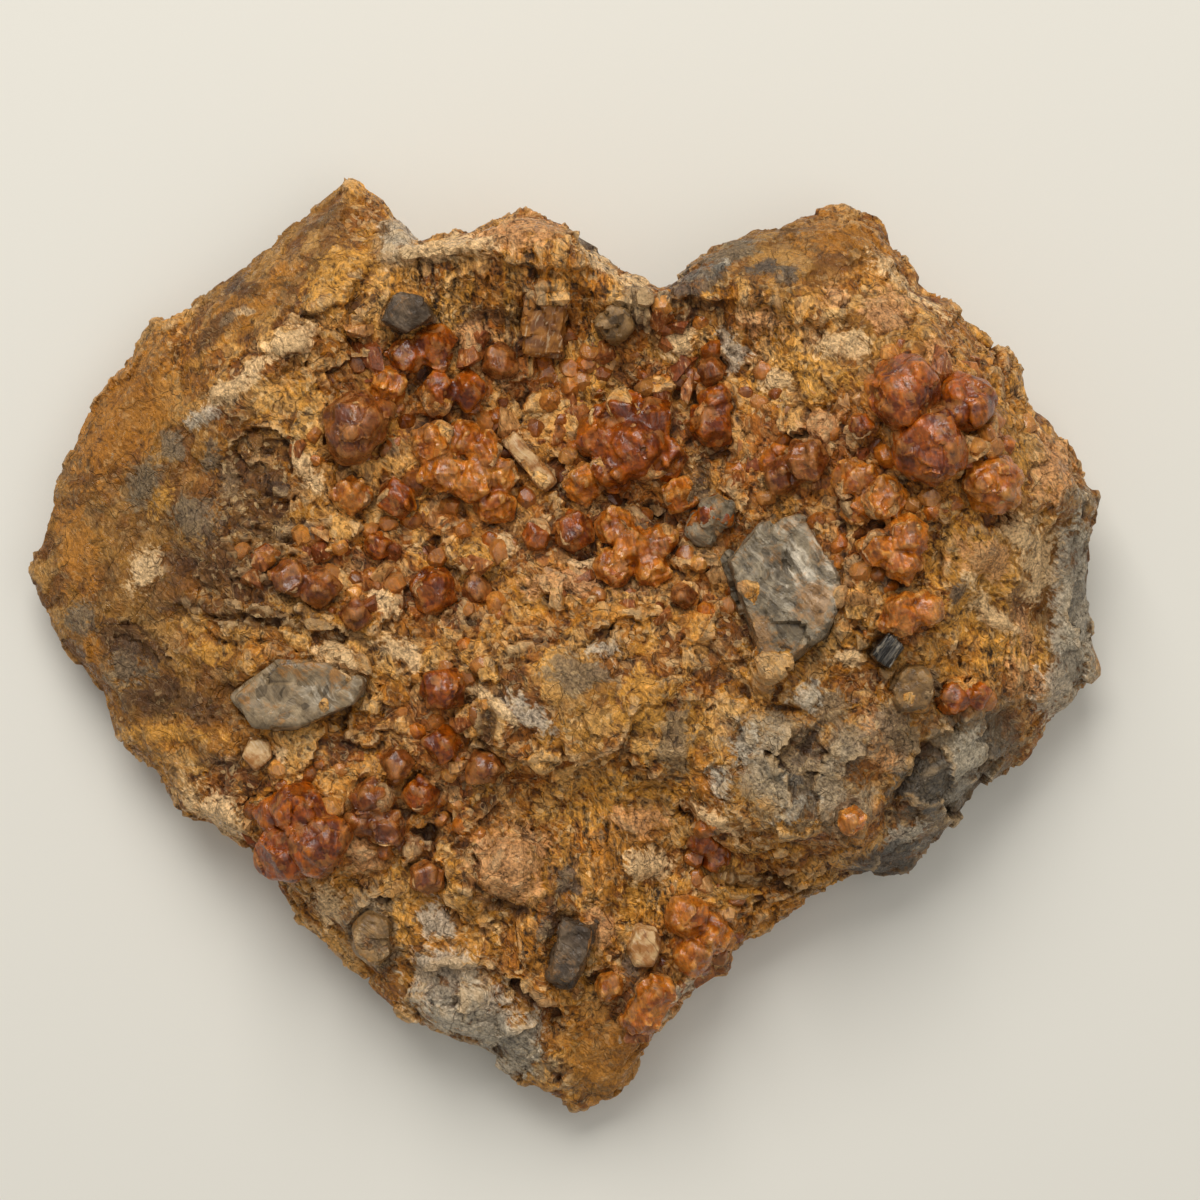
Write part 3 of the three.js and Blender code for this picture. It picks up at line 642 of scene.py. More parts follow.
def swung(tree, start, parts):
    """A value with patterns that run round 0.5 added to it, each with its own strength."""
    for pattern, strength in parts:
        start = sum_of(tree, "MULTIPLY_ADD", sum_of(tree, "SUBTRACT", pattern, 0.5), strength, start)
    return start


def toned(tree, colour, parts):
    """A colour made darker or lighter by patterns round 0.5, each with its own strength."""
    tone = swung(tree, 1.0, parts)
    grey = tree.nodes.new("ShaderNodeCombineColor")
    for channel in grey.inputs:
        tree.links.new(sum_of(tree, "MAXIMUM", tone, DARKEST_TONE), channel)
    return tinted(tree, 1.0, colour, grey.outputs["Color"], "MULTIPLY")


def veins(tree, place, size, width, detail=4):
    """Thin wandering lines, 1 on a line: where soft mottling about one size across is halfway."""
    off = sum_of(tree, "ABSOLUTE", sum_of(tree, "SUBTRACT", mottle(tree, place, size, detail), 0.5), 0)
    return between(tree, off, 0, width, 1, 0)


def complete(tree, shader, colour, relief, strength, depth=0.3, **settings):
    """Gives a finish its colour, its fine relief, as deep as some mm, and its shader's settings."""
    tree.links.new(colour, shader.inputs["Base Color"])
    bump = tree.nodes.new("ShaderNodeBump")
    bump.inputs["Strength"].default_value = strength
    bump.inputs["Distance"].default_value = depth * MM
    height = relief[0][0]
    if len(relief) > 1 or relief[0][1] != 1:
        height = times(tree, *relief[0])
    for pattern, amount in relief[1:]:
        height = sum_of(tree, "MULTIPLY_ADD", pattern, amount, height)
    tree.links.new(height, bump.inputs["Height"])
    tree.links.new(bump.outputs["Normal"], shader.inputs["Normal"])
    for name, value in settings.items():
        shader.inputs[name.replace("_", " ")].default_value = value


def stone_finish():
    finish, tree, shader, place = start_finish("stained_stone")
    bent = warped(tree, place, 2.5, 0.8)
    wide = mottle(tree, place, 7, 3)
    middle = mottle(tree, bent, 2.4, 5)
    fine = mottle(tree, bent, 0.8, 4)
    fibre = mottle(tree, bent, 0.3, 3, (1, 5, 3), 12)
    flake = mottle(tree, bent, 0.4, 3, (5, 1, 2), -42)
    crack = veins(tree, bent, 5, 0.007, 2)
    thread = veins(tree, bent, 3, 0.014, 2)
    sand = mottle(tree, place, 0.32, 2)
    soft = mottle(tree, place, 4, 3, (1, 1.6, 1), -30)
    big_red, big_green, big_blue, big_height = facets(tree, bent, 1.7)
    red, green, blue, height = facets(tree, bent, 0.55)
    calm = between(tree, mask_of(tree, "quiet"), 0.2, 0.9)
    lively = between(tree, mask_of(tree, "quiet"), 0.2, 0.9, 1.0, 0.4)
    lively = times(tree, lively, between(tree, mask_of(tree, "solid"), 0.1, 0.9, 1.0, 0.6))
    glassy = mask_of(tree, "glassy")
    lump = mask_of(tree, "lump")
    streaky = mask_of(tree, "streaks")
    hollow = mask_of(tree, "hollow")
    reeds = mottle(tree, bent, 0.55, 3, (1, 9, 6), 4)

    # The rock itself: ochre, duller where it is quiet and redder among the garnets, with each
    # broken block and grain a little paler or darker than the next.
    colour = laid(tree, paint(160, 98, 22), (190, 130, 46), wide, 0.4, 0.6)
    colour = tinted(tree, calm, colour, paint(122, 79, 20))
    for pattern, low, high, most, within, shade in (
        (soft, 0.5, 0.6, 0.6, calm, (150, 104, 40)),
        (soft, 0.47, 0.37, 0.6, calm, (98, 68, 26)),
        (mask_of(tree, "crystal_ground"), 0.1, 0.9, 0.65, 1.0, (176, 98, 36)),
        (lump, 0.2, 0.35, 0.5, lively, (214, 152, 66)),
        (lump, 0.65, 0.75, 0.5, lively, (228, 174, 98)),
        (lump, -0.3, -0.45, 0.55, lively, (140, 76, 20)),
        (lump, -0.75, -0.85, 0.55, lively, (92, 54, 22)),
        (middle, 0.52, 0.62, 0.6, lively, (222, 162, 84)),
        (middle, 0.45, 0.36, 0.6, lively, (116, 64, 24)),
        (big_red, 0.65, 0.95, 0.4, lively, (226, 180, 116)),
        (big_green, 0.7, 0.95, 0.4, lively, (108, 56, 24)),
    ):
        colour = laid(tree, colour, shade, pattern, low, high, most, within)

    # The patches of other minerals and stains, with ragged borders.
    ragged = swung(tree, 0.0, [(middle, 1.3), (fine, 1.0), (flake, 0.8)])
    for mask_name, most, shade in (
        ("ochre", 0.6, (180, 114, 30)), ("golden", 0.7, (208, 148, 60)),
        ("pink_tan", 0.7, (206, 150, 98)), ("grey", 0.75, (116, 102, 80)),
        ("pale_grey", 0.75, (194, 180, 156)), ("slate", 0.8, (74, 70, 64)),
        ("cream", 0.8, (228, 190, 138)), ("dark", 0.75, (72, 44, 22)),
    ):
        edge = sum_of(tree, "ADD", mask_of(tree, mask_name), ragged)
        colour = laid(tree, colour, shade, edge, 0.38, 0.64, most)
    # One grain in many is painted pale cream: partly pale mineral flecks, partly painted highlights.
    colour = laid(tree, colour, (228, 192, 136), red, 0.88, 0.97, 0.45, lively)
    # One grain in many is painted dark as a shaded pit: painted shade.
    colour = laid(tree, colour, (58, 33, 14), green, 0.86, 0.95, 0.55, lively)
    colour = laid(tree, colour, (184, 168, 140), lump, 0.1, 0.8, 0.45, glassy)
    colour = laid(tree, colour, (88, 76, 60), lump, -0.1, -0.7, 0.5, glassy)

    # Light and dark flakes, fibres and sand, then threads and cracks; then painted shade, darker in
    # the hollows and pits, and a painted highlight, paler on the crests.
    sandy = sum_of(tree, "MULTIPLY_ADD", mask_of(tree, "solid"), 1.4, 1.3)
    fibres = times(tree, sum_of(tree, "MULTIPLY_ADD", streaky, 1.6, 1.4), lively)
    colour = toned(tree, colour, [
        (flake, times(tree, lively, 2.1)), (fine, times(tree, lively, 2.0)),
        (blue, times(tree, lively, 0.3)), (big_blue, times(tree, lively, 0.3)),
        (sand, sandy), (fibre, fibres), (reeds, times(tree, streaky, 3.4)),
    ])
    colour = tinted(tree, times(tree, times(tree, thread, 0.3), lively), colour, paint(236, 200, 140))
    colour = tinted(tree, times(tree, times(tree, crack, 0.4), lively), colour, paint(48, 26, 10))
    colour = laid(tree, colour, (56, 30, 12), fine, 0.4, 0.32, 0.6, lively)
    # Painted shade: the hollows and pits are painted dark brown.
    colour = laid(tree, colour, (56, 29, 10), hollow, 0.56, 0.9, 0.75)
    # Painted highlight: the crests are painted pale cream.
    colour = laid(tree, colour, (230, 190, 136), hollow, 0.42, 0.15, 0.45)
    gloss = times(tree, between(tree, blue, 0.6, 0.92, 0.62, 0.16), between(tree, glassy, 0, 1, 1, 0.6))
    tree.links.new(gloss, shader.inputs["Roughness"])
    relief = [
        (fine, 1.3), (fibre, 1), (flake, 1.1), (big_height, 0.9), (height, 0.5), (crack, -0.6),
        (reeds, streaky),
    ]
    complete(tree, shader, colour, relief, 0.9, 0.32, Specular_IOR_Level=0.36)
    return finish


STAINED_STONE = stone_finish()
stone.data.materials.append(STAINED_STONE)
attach(stone, "root")
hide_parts("matrix")

# ---- The garnets ----------------------------------------------------------------------------
# Orange-red garnets, glassy and a little see-through, single or grown together. Each fills its
# socket. Its growth faces are flat but worn, with patches of ochre rock dust; the dips between them
# are painted dark (painted shade) and their crests a paler orange (painted glow).

GARNET_CELL = 0.2            # size of a garnet's mesh cells, mm
GARNET_SHARP = 32            # degrees over which an edge between two growth faces stays sharp
GARNET_FACE = 2.8            # size of the growth faces, and how far they stand out, mm
GARNET_RELIEF = 0.5
GARNET_LIFT = 0.05
BIG_GARNETS = {
    "garnet_east_crown", "garnet_east_red", "garnet_east_orange", "garnet_big_south_west", "garnet_west_pink",
}
BIG_FACE = 3.6
BIG_RELIEF = 0.85
BIG_LIFT = 0.35
SMALL_FACE = 1.2             # size of the small crystals that a garnet's surface is built of, mm


def dress(piece, moved, normals, rounds, gain, finish, sharp=SHARP):
    """Gives a crystal its last points, a mask of the dips between its faces, and its finish."""
    put_points(piece.data, moved)
    dip = np.sum((neighbour_mean(piece.data, moved, rounds) - moved) * normals, axis=1)
    put_mask(piece.data, "hollow", 0.5 + np.clip(dip * gain, -0.5, 0.5))
    piece.data.shade_smooth()
    piece.data.set_sharp_from_angle(angle=math.radians(sharp))
    piece.data.materials.append(finish)


def garnet_finish(name, deep, bright, glow):
    finish, tree, shader, place = start_finish(name, 0.2)
    bent = warped(tree, place, 1.8, 0.5)
    cloud = mottle(tree, place, 2.4, 3)
    fleck = mottle(tree, bent, 0.8, 4)
    flaw = mottle(tree, bent, 0.3, 3, (1, 3, 2), 20)
    red, green, blue, height = facets(tree, bent, 1.5)
    hollow = mask_of(tree, "hollow")
    dusty = between(tree, mottle(tree, bent, 2.0, 4), 0.52, 0.61, 0, 0.75)
    colour = laid(tree, paint(*deep), bright, cloud, 0.4, 0.6)
    colour = laid(tree, colour, glow, red, 0.7, 0.95, 0.35)
    colour = laid(tree, colour, deep, green, 0.7, 0.95, 0.35)
    # Painted glow: the crests are painted a paler orange.
    colour = laid(tree, colour, glow, hollow, 0.46, 0.2, 0.6)
    colour = tinted(tree, dusty, colour, paint(172, 108, 42))
    colour = toned(tree, colour, [(fleck, 1.9), (flaw, 2.0), (blue, 0.15)])
    # Painted shade: the dips between the faces are painted dark red-brown.
    colour = laid(tree, colour, (66, 24, 8), hollow, 0.58, 0.95, 0.75)
    rough = between(tree, blue, 0.3, 0.8, 0.08, 0.3)
    tree.links.new(sum_of(tree, "MAXIMUM", rough, times(tree, dusty, 0.8)), shader.inputs["Roughness"])
    complete(
        tree, shader, colour, [(fleck, 0.6), (height, 0.5), (flaw, 0.4)], 0.7,
        IOR=1.8, Specular_IOR_Level=0.22, Transmission_Weight=0.24,
        Subsurface_Weight=0.1, Subsurface_Radius=(1.0, 0.4, 0.15), Subsurface_Scale=0.7 * MM,
    )
    return finish


RED_GARNET = garnet_finish("red_garnet", (106, 42, 3), (168, 80, 10), (214, 122, 30))
ORANGE_GARNET = garnet_finish("orange_garnet", (162, 82, 14), (210, 121, 32), (232, 168, 84))
BROWN_GARNET = garnet_finish("brown_garnet", (108, 52, 18), (156, 86, 32), (208, 140, 72))
BROWN_ONES = """upper_left_dark west_pink far_west_pair far_west_single centre_clear north_dark
    north_east_pink ledge_dark low_dark purple_crystal south_west_glint dark_trio""".split()
ORANGE_ONES = """upper_left_orange west_mass centre_foot centre_orange centre_druse east_orange
    grapes_upper grapes_lower orange_ball south_cluster south_glassy south_small plateau_spot
    west_small""".split()

for node in sorted(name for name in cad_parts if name.startswith("garnet_")):
    garnet = copy_of(node, node + "_crystals", SOCKET_GAP)
    recast(garnet, GARNET_CELL)
    points, _ = points_of(garnet.data)
    put_points(garnet.data, neighbour_mean(garnet.data, points, 2))
    points, normals = points_of(garnet.data)
    finish, granular = RED_GARNET, 0.1
    if node.removeprefix("garnet_") in BROWN_ONES:
        finish = BROWN_GARNET
    elif node.removeprefix("garnet_") in ORANGE_ONES:
        finish, granular = ORANGE_GARNET, 0.3
    size, relief, stand = GARNET_FACE, GARNET_RELIEF, GARNET_LIFT
    if node in BIG_GARNETS:
        size, relief, stand = BIG_FACE, BIG_RELIEF, BIG_LIFT
    wandering = points + 0.6 * shifts(points, 2.5, 101)
    face, edge, _ = grains(wandering, size, 91)
    small_face, small_edge, _ = grains(wandering, SMALL_FACE, 95)
    lift = stand + relief * face * np.clip(4 * edge, 0.4, 1)
    lift += granular * small_face * np.clip(4 * small_edge, 0.3, 1) + 0.06 * swells(points, 1.1, 97, 2)
    dress(garnet, points + normals * lift[:, None], normals, 8, 2.0, finish, GARNET_SHARP)
    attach(garnet, "root")
    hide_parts(node)

# ---- The quartz -----------------------------------------------------------------------------
# Smoky quartz, grey-brown, glassy and cloudy, broken into rough blocks with ribbed, streaky faces,
# some of them with a silky shine painted on in pale streaks (painted sheen).
# Each block grew in the rock, which grips it all round.

QUARTZ_CELL = 0.3            # size of the quartz's mesh cells, mm
QUARTZ_FACE = 4.5            # sizes of its broken faces, chips and ribs, mm
QUARTZ_CHIP = 1.5
QUARTZ_RIB = 0.9
# Where a silky shine is painted on the quartz in pale streaks (painted sheen), and where it is
# stained, as x, y, half width, half height, turn.
PAINTED_SHEEN_SPOTS = [(25.5, 8.5, 8, 4.5, -50), (-24, -5.5, 4, 2, -10)]
STAIN_SPOTS = [
    (26.5, 5, 2.4, 3, 0), (20, 1.5, 2.4, 3.5, 20), (-27, -2.6, 4.5, 1.5, -10), (24, -1.5, 4, 2.4, 0),
]


def quartz_finish(name, deep, bright, streaks_and_painted_sheen, stained=0.75):
    finish, tree, shader, place = start_finish(name, 0.3)
    bent = warped(tree, place, 3, 0.8)
    cloud = mottle(tree, bent, 3.5, 5)
    streak = mottle(tree, bent, 0.35, 3, (8, 1, 2), -48)
    sheen = mottle(tree, bent, 1.4, 4, (4, 1, 1), -48)
    fine = mottle(tree, bent, 0.6, 4)
    red, green, blue, height = facets(tree, bent, 0.9)
    stain = sum_of(tree, "MULTIPLY_ADD", mask_of(tree, "stained"), 0.14, mottle(tree, bent, 3.6, 5))
    stain = swung(tree, stain, [(fine, 0.5)])
    colour = laid(tree, paint(*deep), bright, cloud, 0.4, 0.6)
    # Painted sheen: pale streaks laid where the quartz should shine.
    colour = laid(tree, colour, (206, 192, 168), sheen, 0.49, 0.62, 0.85, mask_of(tree, "streaks_and_painted_sheen"))
    colour = laid(tree, colour, (58, 46, 32), green, 0.85, 0.95, 0.5)
    colour = laid(tree, colour, (156, 104, 40), stain, 0.52, 0.7, stained)
    colour = toned(tree, colour, [(streak, 1.6 * streaks_and_painted_sheen), (sheen, 1.3 * streaks_and_painted_sheen), (fine, 1.6), (blue, 0.3)])
    # Painted shade: the hollows are painted dark.
    colour = laid(tree, colour, (46, 34, 22), mask_of(tree, "hollow"), 0.56, 0.9, 0.7)
    tree.links.new(between(tree, red, 0.4, 0.9, 0.5, 0.2), shader.inputs["Roughness"])
    complete(
        tree, shader, colour, [(fine, 1), (height, 0.6), (streak, 1.3)], 0.2 + 0.7 * streaks_and_painted_sheen,
        IOR=1.545, Specular_IOR_Level=0.36, Transmission_Weight=0.08,
    )
    return finish


SMOKY_QUARTZ = quartz_finish("smoky_quartz", (104, 90, 68), (150, 134, 108), 0.8, 0.6)
PALE_QUARTZ = quartz_finish("pale_quartz", (128, 108, 80), (162, 140, 108), 0.35)
OLIVE_QUARTZ = quartz_finish("olive_quartz", (116, 86, 48), (154, 120, 76), 0.5)
DARK_QUARTZ = quartz_finish("dark_quartz", (80, 64, 48), (118, 98, 76), 0.7, 0.4)
# Each piece's finish and how ribbed its faces are. garnet_quartz_side is a garnet and ought not to
# be in this table: its row puts a second skin, of smoky quartz, over its crystals.
QUARTZ_LOOKS = {
    "dark_quartz_blade": (DARK_QUARTZ, 1.0), "garnet_quartz_side": (SMOKY_QUARTZ, 1.0),
    "grey_quartz_lump": (OLIVE_QUARTZ, 1.0), "grey_quartz_shard": (PALE_QUARTZ, 0.2),
    "rim_quartz": (OLIVE_QUARTZ, 1.0), "round_quartz": (OLIVE_QUARTZ, 1.0),
    "smoky_quartz_block": (SMOKY_QUARTZ, 0.6), "smoky_quartz_north": (DARK_QUARTZ, 1.0),
}

for node, (finish, ribbed) in QUARTZ_LOOKS.items():
    quartz = copy_of(node, node + "_broken", SOCKET_GAP)
    recast(quartz, QUARTZ_CELL)
    points, normals = points_of(quartz.data)
    worn = neighbour_mean(quartz.data, points, 1)
    bent = points + 0.5 * shifts(points, 3, 105, 2)
    face, _, _ = grains(bent, QUARTZ_FACE, 113)
    small_face, _, _ = grains(bent, QUARTZ_CHIP, 115)
    ribs = swells(points @ np.array([[0.7, 0.15, 0], [0.7, -0.15, 0], [0, 0, 0.3]]), QUARTZ_RIB, 117, 2)
    lift = 0.1 + (0.75 - 0.2 * ribbed) * face + ribbed * (0.22 * small_face + 0.1 * ribs)
    dress(quartz, worn + normals * lift[:, None], normals, 6, 1.4, finish)
    put_mask(quartz.data, "streaks_and_painted_sheen", ground_of(points, PAINTED_SHEEN_SPOTS, 2.4, 0.9))
    put_mask(quartz.data, "stained", ground_of(points, STAIN_SPOTS, 3, 1.2))
    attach(quartz, "root")
    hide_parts(node)

# ---- The feldspar ---------------------------------------------------------------------------
# Cream feldspar in blocks and laths, satin on its cleavage faces and stained along its cracks.
# Like the quartz it grew in the rock, and each piece is held in its own socket.

FELDSPAR_CELL = 0.25         # size of the feldspar's mesh cells, mm
FELDSPAR_STEP = 1.4          # size of the steps between its cleavage faces, mm


def feldspar_finish(name, pale, stained, turn):
    finish, tree, shader, place = start_finish(name, 0.45)
    bent = warped(tree, place, 3, 0.6)
    cloud = mottle(tree, bent, 2.0, 5)
    ribs = mottle(tree, bent, 0.35, 4, (7, 1, 2), turn)
    colour = laid(tree, paint(*pale), stained, cloud, 0.42, 0.6)
    colour = laid(tree, colour, (232, 206, 166), ribs, 0.54, 0.68, 0.5)
    colour = laid(tree, colour, (110, 66, 30), ribs, 0.46, 0.34, 0.6)
    # Painted shade: the hollows are painted darker brown.
    colour = laid(tree, colour, (110, 66, 34), mask_of(tree, "hollow"), 0.55, 0.9, 0.8)
    complete(tree, shader, colour, [(cloud, 1), (ribs, 0.7)], 0.5)
    return finish


CREAM_FELDSPAR = feldspar_finish("cream_feldspar", (208, 168, 114), (168, 112, 54), -45)
BROWN_FELDSPAR = feldspar_finish("brown_feldspar", (164, 106, 40), (112, 66, 22), 75)

for node in sorted(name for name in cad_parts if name.startswith("feldspar_")):
    feldspar = copy_of(node, node + "_broken", SOCKET_GAP)
    recast(feldspar, FELDSPAR_CELL)
    points, normals = points_of(feldspar.data)
    worn = neighbour_mean(feldspar.data, points, 1)
    finish, rugged = CREAM_FELDSPAR, 0.2
    if node == "feldspar_block":
        finish, rugged = BROWN_FELDSPAR, 0.4
    face, _, _ = grains(points * [1, 0.5, 1] + 0.4 * shifts(points, 2, 133, 2), FELDSPAR_STEP, 131)
    lift = 0.05 + rugged * face + 0.07 * swells(points, 0.8, 137, 2)
    dress(feldspar, worn + normals * lift[:, None], normals, 6, 2, finish)
    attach(feldspar, "root")
    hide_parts(node)

# ---- The mica book --------------------------------------------------------------------------
# A stack of black mica plates on edge, split into thin leaves that shine along their ridges, partly
# by their own gloss and partly by pale streaks painted on (painted highlights).
# It stands in a socket beside the round quartz.

MICA_CELL = 0.14             # size of the mica's mesh cells, mm
LEAF = 0.5                   # thickness of its leaves and of the steps they break in, mm
LEAF_STEP = 1.6
MICA_TURN = np.array([[0.8, 0.6, 0], [-0.6, 0.8, 0], [0, 0, 1]])


def mica_finish():
    finish, tree, shader, place = start_finish("black_mica", 0.22)
    leaves = mottle(tree, place, 0.22, 3, (1, 14, 6), -37)
    painted_glints = mottle(tree, place, 0.7, 4, (1, 3, 2), -37)
    colour = laid(tree, paint(22, 19, 16), (104, 96, 84), leaves, 0.46, 0.64)
    # Painted highlights: pale streaks laid on the dark leaves.
    colour = laid(tree, colour, (168, 154, 132), painted_glints, 0.56, 0.68, 0.7)
    complete(tree, shader, colour, [(leaves, 1)], 0.9, 0.4)
    return finish


mica = copy_of("mica_book", "mica_book_leaves", SOCKET_GAP)
recast(mica, MICA_CELL)
points, normals = points_of(mica.data)
leaf = swells((points @ MICA_TURN) * [1, 0.12, 0.12], LEAF, 151)
step = swells((points @ MICA_TURN) * [1, 0.3, 0.3], LEAF_STEP, 153, 2)
put_points(mica.data, points + normals * (0.15 + 0.2 * leaf + 0.25 * step)[:, None])
mica.data.shade_smooth()
mica.data.materials.append(mica_finish())
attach(mica, "root")
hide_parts("mica_book")

# ---- Loose grains and small garnets -----------------------------------------------------------
# Chips of feldspar and quartz stick to the broken rock, and small garnets crowd round the large
# ones. They are too small and too many to be seated one by one.


def chip(name, seed, corners, length, width):
    """A broken chip: the hull of a few scattered points."""
    place = np.random.default_rng(seed)
    work = bmesh.new()
    for _ in range(corners):
        spot = place.normal(size=3)
        spot /= np.linalg.norm(spot)
        work.verts.new(spot * [length / 2, width / 2, 0.5])
    bmesh.ops.convex_hull(work, input=work.verts)
    loose = [v for v in work.verts if not v.link_faces]
    bmesh.ops.delete(work, geom=loose, context="VERTS")
    mesh = bpy.data.meshes.new(name)
    work.to_mesh(mesh)
    work.free()
    return bpy.data.objects.new(name, mesh)


def scatter_tree(name, shapes, mask_name, finish, seed):
    """Sets shapes on a ground where a mask allows, turned and sized at random."""
    tree = bpy.data.node_groups.new(name, "GeometryNodeTree")
    tree.interface.new_socket("Ground", in_out="INPUT", socket_type="NodeSocketGeometry")
    for label in ("Per square mm", "Spacing mm", "Least mm", "Greatest mm", "Sink mm"):
        tree.interface.new_socket(label, in_out="INPUT", socket_type="NodeSocketFloat")
    tree.interface.new_socket("Geometry", in_out="OUTPUT", socket_type="NodeSocketGeometry")
    given = tree.nodes.new("NodeGroupInput").outputs

    def step(kind, inputs, **settings):
        """A node with its settings made and its inputs set or linked."""
        made = tree.nodes.new(kind)
        for setting, value in settings.items():
            setattr(made, setting, value)
        for socket, value in inputs.items():
            feed(tree, made.inputs[socket], value)
        return made

    def scaled(label, factor):
        return step("ShaderNodeMath", {0: given[label], 1: factor}, operation="MULTIPLY").outputs[0]

    mask = step("GeometryNodeInputNamedAttribute", {"Name": mask_name})
    spread = step("GeometryNodeDistributePointsOnFaces", {
        "Mesh": given["Ground"], "Density Max": scaled("Per square mm", 1e6),
        "Distance Min": scaled("Spacing mm", MM), "Density Factor": mask.outputs["Attribute"],
        "Seed": seed,
    }, distribute_method="POISSON")
    sink = step("ShaderNodeVectorMath", {
        0: spread.outputs["Normal"], "Scale": scaled("Sink mm", -MM),
    }, operation="SCALE")
    sunk = step("GeometryNodeSetPosition", {
        "Geometry": spread.outputs["Points"], "Offset": sink.outputs["Vector"],
    })

    stock = bpy.data.collections.new(name + " shapes")
    for shape in shapes:
        stock.objects.link(shape)
    info = step("GeometryNodeCollectionInfo", {"Collection": stock, "Separate Children": True})
    turn = step("FunctionNodeRandomValue", {
        "Min": (0, 0, 0), "Max": (math.tau, math.tau, math.tau), "Seed": seed + 1,
    }, data_type="FLOAT_VECTOR")
    size = step("FunctionNodeRandomValue", {
        2: scaled("Least mm", MM), 3: scaled("Greatest mm", MM), "Seed": seed + 2,
    }, data_type="FLOAT")
    placed = step("GeometryNodeInstanceOnPoints", {
        "Points": sunk.outputs["Geometry"], "Instance": info.outputs["Instances"],
        "Pick Instance": True, "Rotation": turn.outputs["Value"], "Scale": size.outputs[1],
    })
    tone = step("FunctionNodeRandomValue", {"Seed": seed + 3}, data_type="FLOAT")
    kept = step("GeometryNodeStoreNamedAttribute", {
        "Name": "tone", "Geometry": placed.outputs["Instances"], "Value": tone.outputs[1],
    }, domain="INSTANCE", data_type="FLOAT")
    real = step("GeometryNodeRealizeInstances", {"Geometry": kept.outputs["Geometry"]})
    dressed = step("GeometryNodeSetMaterial", {"Geometry": real.outputs["Geometry"], "Material": finish})
    step("NodeGroupOutput", {"Geometry": dressed.outputs["Geometry"]})
    return tree


def scatter(name, tree, **sizes):
    """A piece made of the shapes that a scatter tree sets on the stone."""
    piece = bpy.data.objects.new(name, stone.data.copy())
    bpy.context.scene.collection.objects.link(piece)
    grown = piece.modifiers.new("grown", "NODES")
    grown.node_group = tree
    for item in tree.interface.items_tree:
        if item.in_out == "INPUT" and item.name in sizes:
            grown[item.identifier] = float(sizes[item.name])
    settle(piece)
    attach(piece, "root")
    return piece


def tone_finish(base, name):
    """A copy of a finish whose colour is darker or paler from grain to grain."""
    finish = base.copy()
    finish.name = name
    tree = finish.node_tree
    shader = tree.nodes["Principled BSDF"]
    old = shader.inputs["Base Color"].links[0].from_socket
    tone = mask_of(tree, "tone")
    colour = laid(tree, old, (202, 142, 78), tone, 0.6, 1.0, 0.5)
    colour = laid(tree, colour, (108, 60, 30), tone, 0.4, 0.0, 0.6)
    tree.links.new(colour, shader.inputs["Base Color"])
    return finish


def druse_garnet(name, seed):
    """A small garnet, 1 across: a ball cut by the 12 faces of its crystal, some deeper."""
    cuts = np.random.default_rng(seed)
    flats = np.array([spot for spot in itertools.product((-1, 0, 1), repeat=3) if np.abs(spot).sum() == 2])
    flats = flats / math.sqrt(2)
    depths = cuts.uniform(0.31, 0.46, len(flats))
    work = bmesh.new()
    bmesh.ops.create_icosphere(work, subdivisions=2, radius=1.0)
    for vert in work.verts:
        facing = np.maximum(flats @ np.array(vert.co), 1e-3)
        vert.co *= min(0.5, float(np.min(depths / facing)))
    mesh = bpy.data.meshes.new(name)
    work.to_mesh(mesh)
    work.free()
    mesh.shade_smooth()
    mesh.set_sharp_from_angle(angle=math.radians(30))
    return bpy.data.objects.new(name, mesh)


def crystal_finish():
    """Honey-coloured and clouded: quartz and feldspar crystals that line the hollows,
    painted darker where they sit deep in them (painted shade).
    """
    finish, tree, shader, place = start_finish("honey_crystals", 0.4)
    bent = warped(tree, place, 2, 0.5)
    cloud = mottle(tree, bent, 1.6, 4)
    fibre = mottle(tree, bent, 0.35, 4, (1, 4, 3), 12)
    tone = mask_of(tree, "tone")
    colour = laid(tree, paint(168, 104, 46), (140, 78, 34), cloud, 0.4, 0.6)
    for pattern, low, high, most, shade in (
        (tone, 0.55, 0.8, 0.85, (198, 146, 86)), (tone, 0.85, 0.95, 0.7, (206, 162, 106)),
        (tone, 0.35, 0.1, 0.85, (124, 60, 24)), (fibre, 0.55, 0.68, 0.5, (224, 186, 132)),
        # The hollow row is painted shade: darker where the crystals sit deep in the stone's hollows.
        (fibre, 0.45, 0.33, 0.7, (66, 36, 16)), (mask_of(tree, "hollow"), 0.55, 0.85, 0.6, (60, 30, 12)),
    ):
        colour = laid(tree, colour, shade, pattern, low, high, most)
    colour = toned(tree, colour, [(mottle(tree, bent, 0.5, 4), 2.2), (fibre, 1.2)])
    tree.links.new(between(tree, cloud, 0.4, 0.65, 0.22, 0.6), shader.inputs["Roughness"])
    complete(
        tree, shader, colour, [(cloud, 1), (fibre, 1)], 0.6, Specular_IOR_Level=0.4,
        Subsurface_Weight=0.1, Subsurface_Radius=(1.0, 0.5, 0.2), Subsurface_Scale=0.5 * MM,
    )
    return finish


blocks = [chip(f"block {i}", 300 + i, 13, 0.9 + 0.2 * i, 0.9) for i in range(6)]
honey = scatter(
    "crystal_blocks", scatter_tree("crystal blocks", blocks, "vug", crystal_finish(), 7),
    **{"Per square mm": 0.35, "Spacing mm": 1.3, "Least mm": 1.3, "Greatest mm": 3.6, "Sink mm": 0.9},
)

DRUSE_GARNET = tone_finish(ORANGE_GARNET, "druse_garnet")
small_garnets = [druse_garnet(f"small garnet {i}", 400 + i) for i in range(4)]
druse = scatter(
    "small_garnets", scatter_tree("small garnets", small_garnets, "druse", DRUSE_GARNET, 31),
    **{"Per square mm": 0.35, "Spacing mm": 1.2, "Least mm": 1.2, "Greatest mm": 3.4, "Sink mm": 0.6},
)

# ---- Floor, light and camera ------------------------------------------------------------------
# A pale tabletop, one large soft light above and behind the stone's upper lobes, and a camera
# looking straight down.

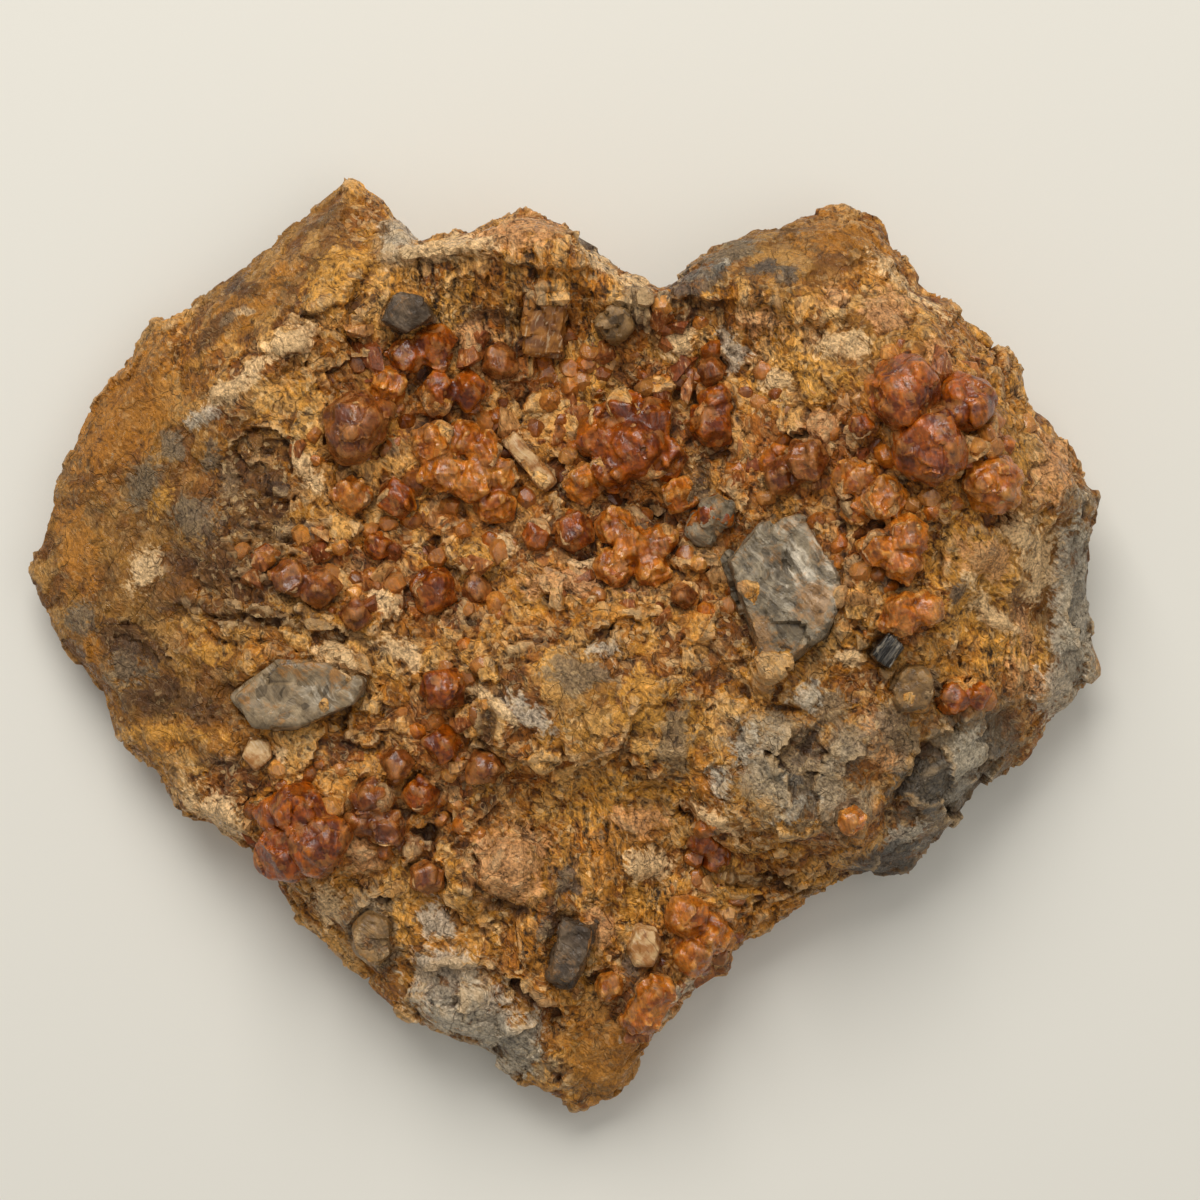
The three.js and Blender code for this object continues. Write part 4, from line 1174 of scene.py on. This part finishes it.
FLOOR_HALF = 1.5             # half the tabletop's width, m
ROOM_LIGHT = 0.32            # strength of the light that comes from all round
floor_mesh = bpy.data.meshes.new("tabletop")
floor_mesh.from_pydata([(-FLOOR_HALF, -FLOOR_HALF, 0), (FLOOR_HALF, -FLOOR_HALF, 0),
                        (FLOOR_HALF, FLOOR_HALF, 0), (-FLOOR_HALF, FLOOR_HALF, 0)], [], [(0, 1, 2, 3)])
floor = bpy.data.objects.new("tabletop", floor_mesh)
bpy.context.scene.collection.objects.link(floor)
floor_paint, _, floor_shader, _ = start_finish("tabletop", 0.7)
floor_shader.inputs["Base Color"].default_value = paint(229, 226, 216)
floor_mesh.materials.append(floor_paint)

bpy.context.scene.view_settings.view_transform = "Standard"
world = bpy.data.worlds.new("room")
world.use_nodes = True
world.node_tree.nodes["Background"].inputs["Color"].default_value = (1.0, 0.985, 0.955, 1)
world.node_tree.nodes["Background"].inputs["Strength"].default_value = ROOM_LIGHT
bpy.context.scene.world = world


def soft_light(name, place, size, power):
    light = bpy.data.lights.new(name, "AREA")
    light.size = size
    light.energy = power
    light.color = (1.0, 0.98, 0.95)
    lamp = bpy.data.objects.new(name, light)
    lamp.location = place
    lamp.rotation_euler = Vector(place).to_track_quat("Z", "Y").to_euler()
    bpy.context.scene.collection.objects.link(lamp)


soft_light("window", (-0.12, 0.58, 0.66), 0.55, 6.0)
soft_light("fill", (0.3, 0.0, 0.9), 0.8, 1.6)

LENS = 120.0                 # focal length and sensor width, mm
SENSOR = 36.0
VIEW_WIDTH = 132.6 * MM      # what the view spans at the height of the stone's rim
RIM_HEIGHT = 9 * MM
VIEW_RIGHT = 3.9 * MM        # how far the view's middle lies from that of the stone's box
VIEW_UP = 5.1 * MM
camera_data = bpy.data.cameras.new("camera")
camera_data.lens = LENS
camera_data.sensor_width = SENSOR
camera = bpy.data.objects.new("camera", camera_data)
low, high = cad_box
centre_x = (low.x + high.x) / 2 + VIEW_RIGHT
centre_y = (low.y + high.y) / 2 + VIEW_UP
camera.location = (centre_x, centre_y, RIM_HEIGHT + VIEW_WIDTH * LENS / SENSOR)
camera.rotation_euler = (0, 0, 0)
bpy.context.scene.collection.objects.link(camera)
bpy.context.scene.camera = camera
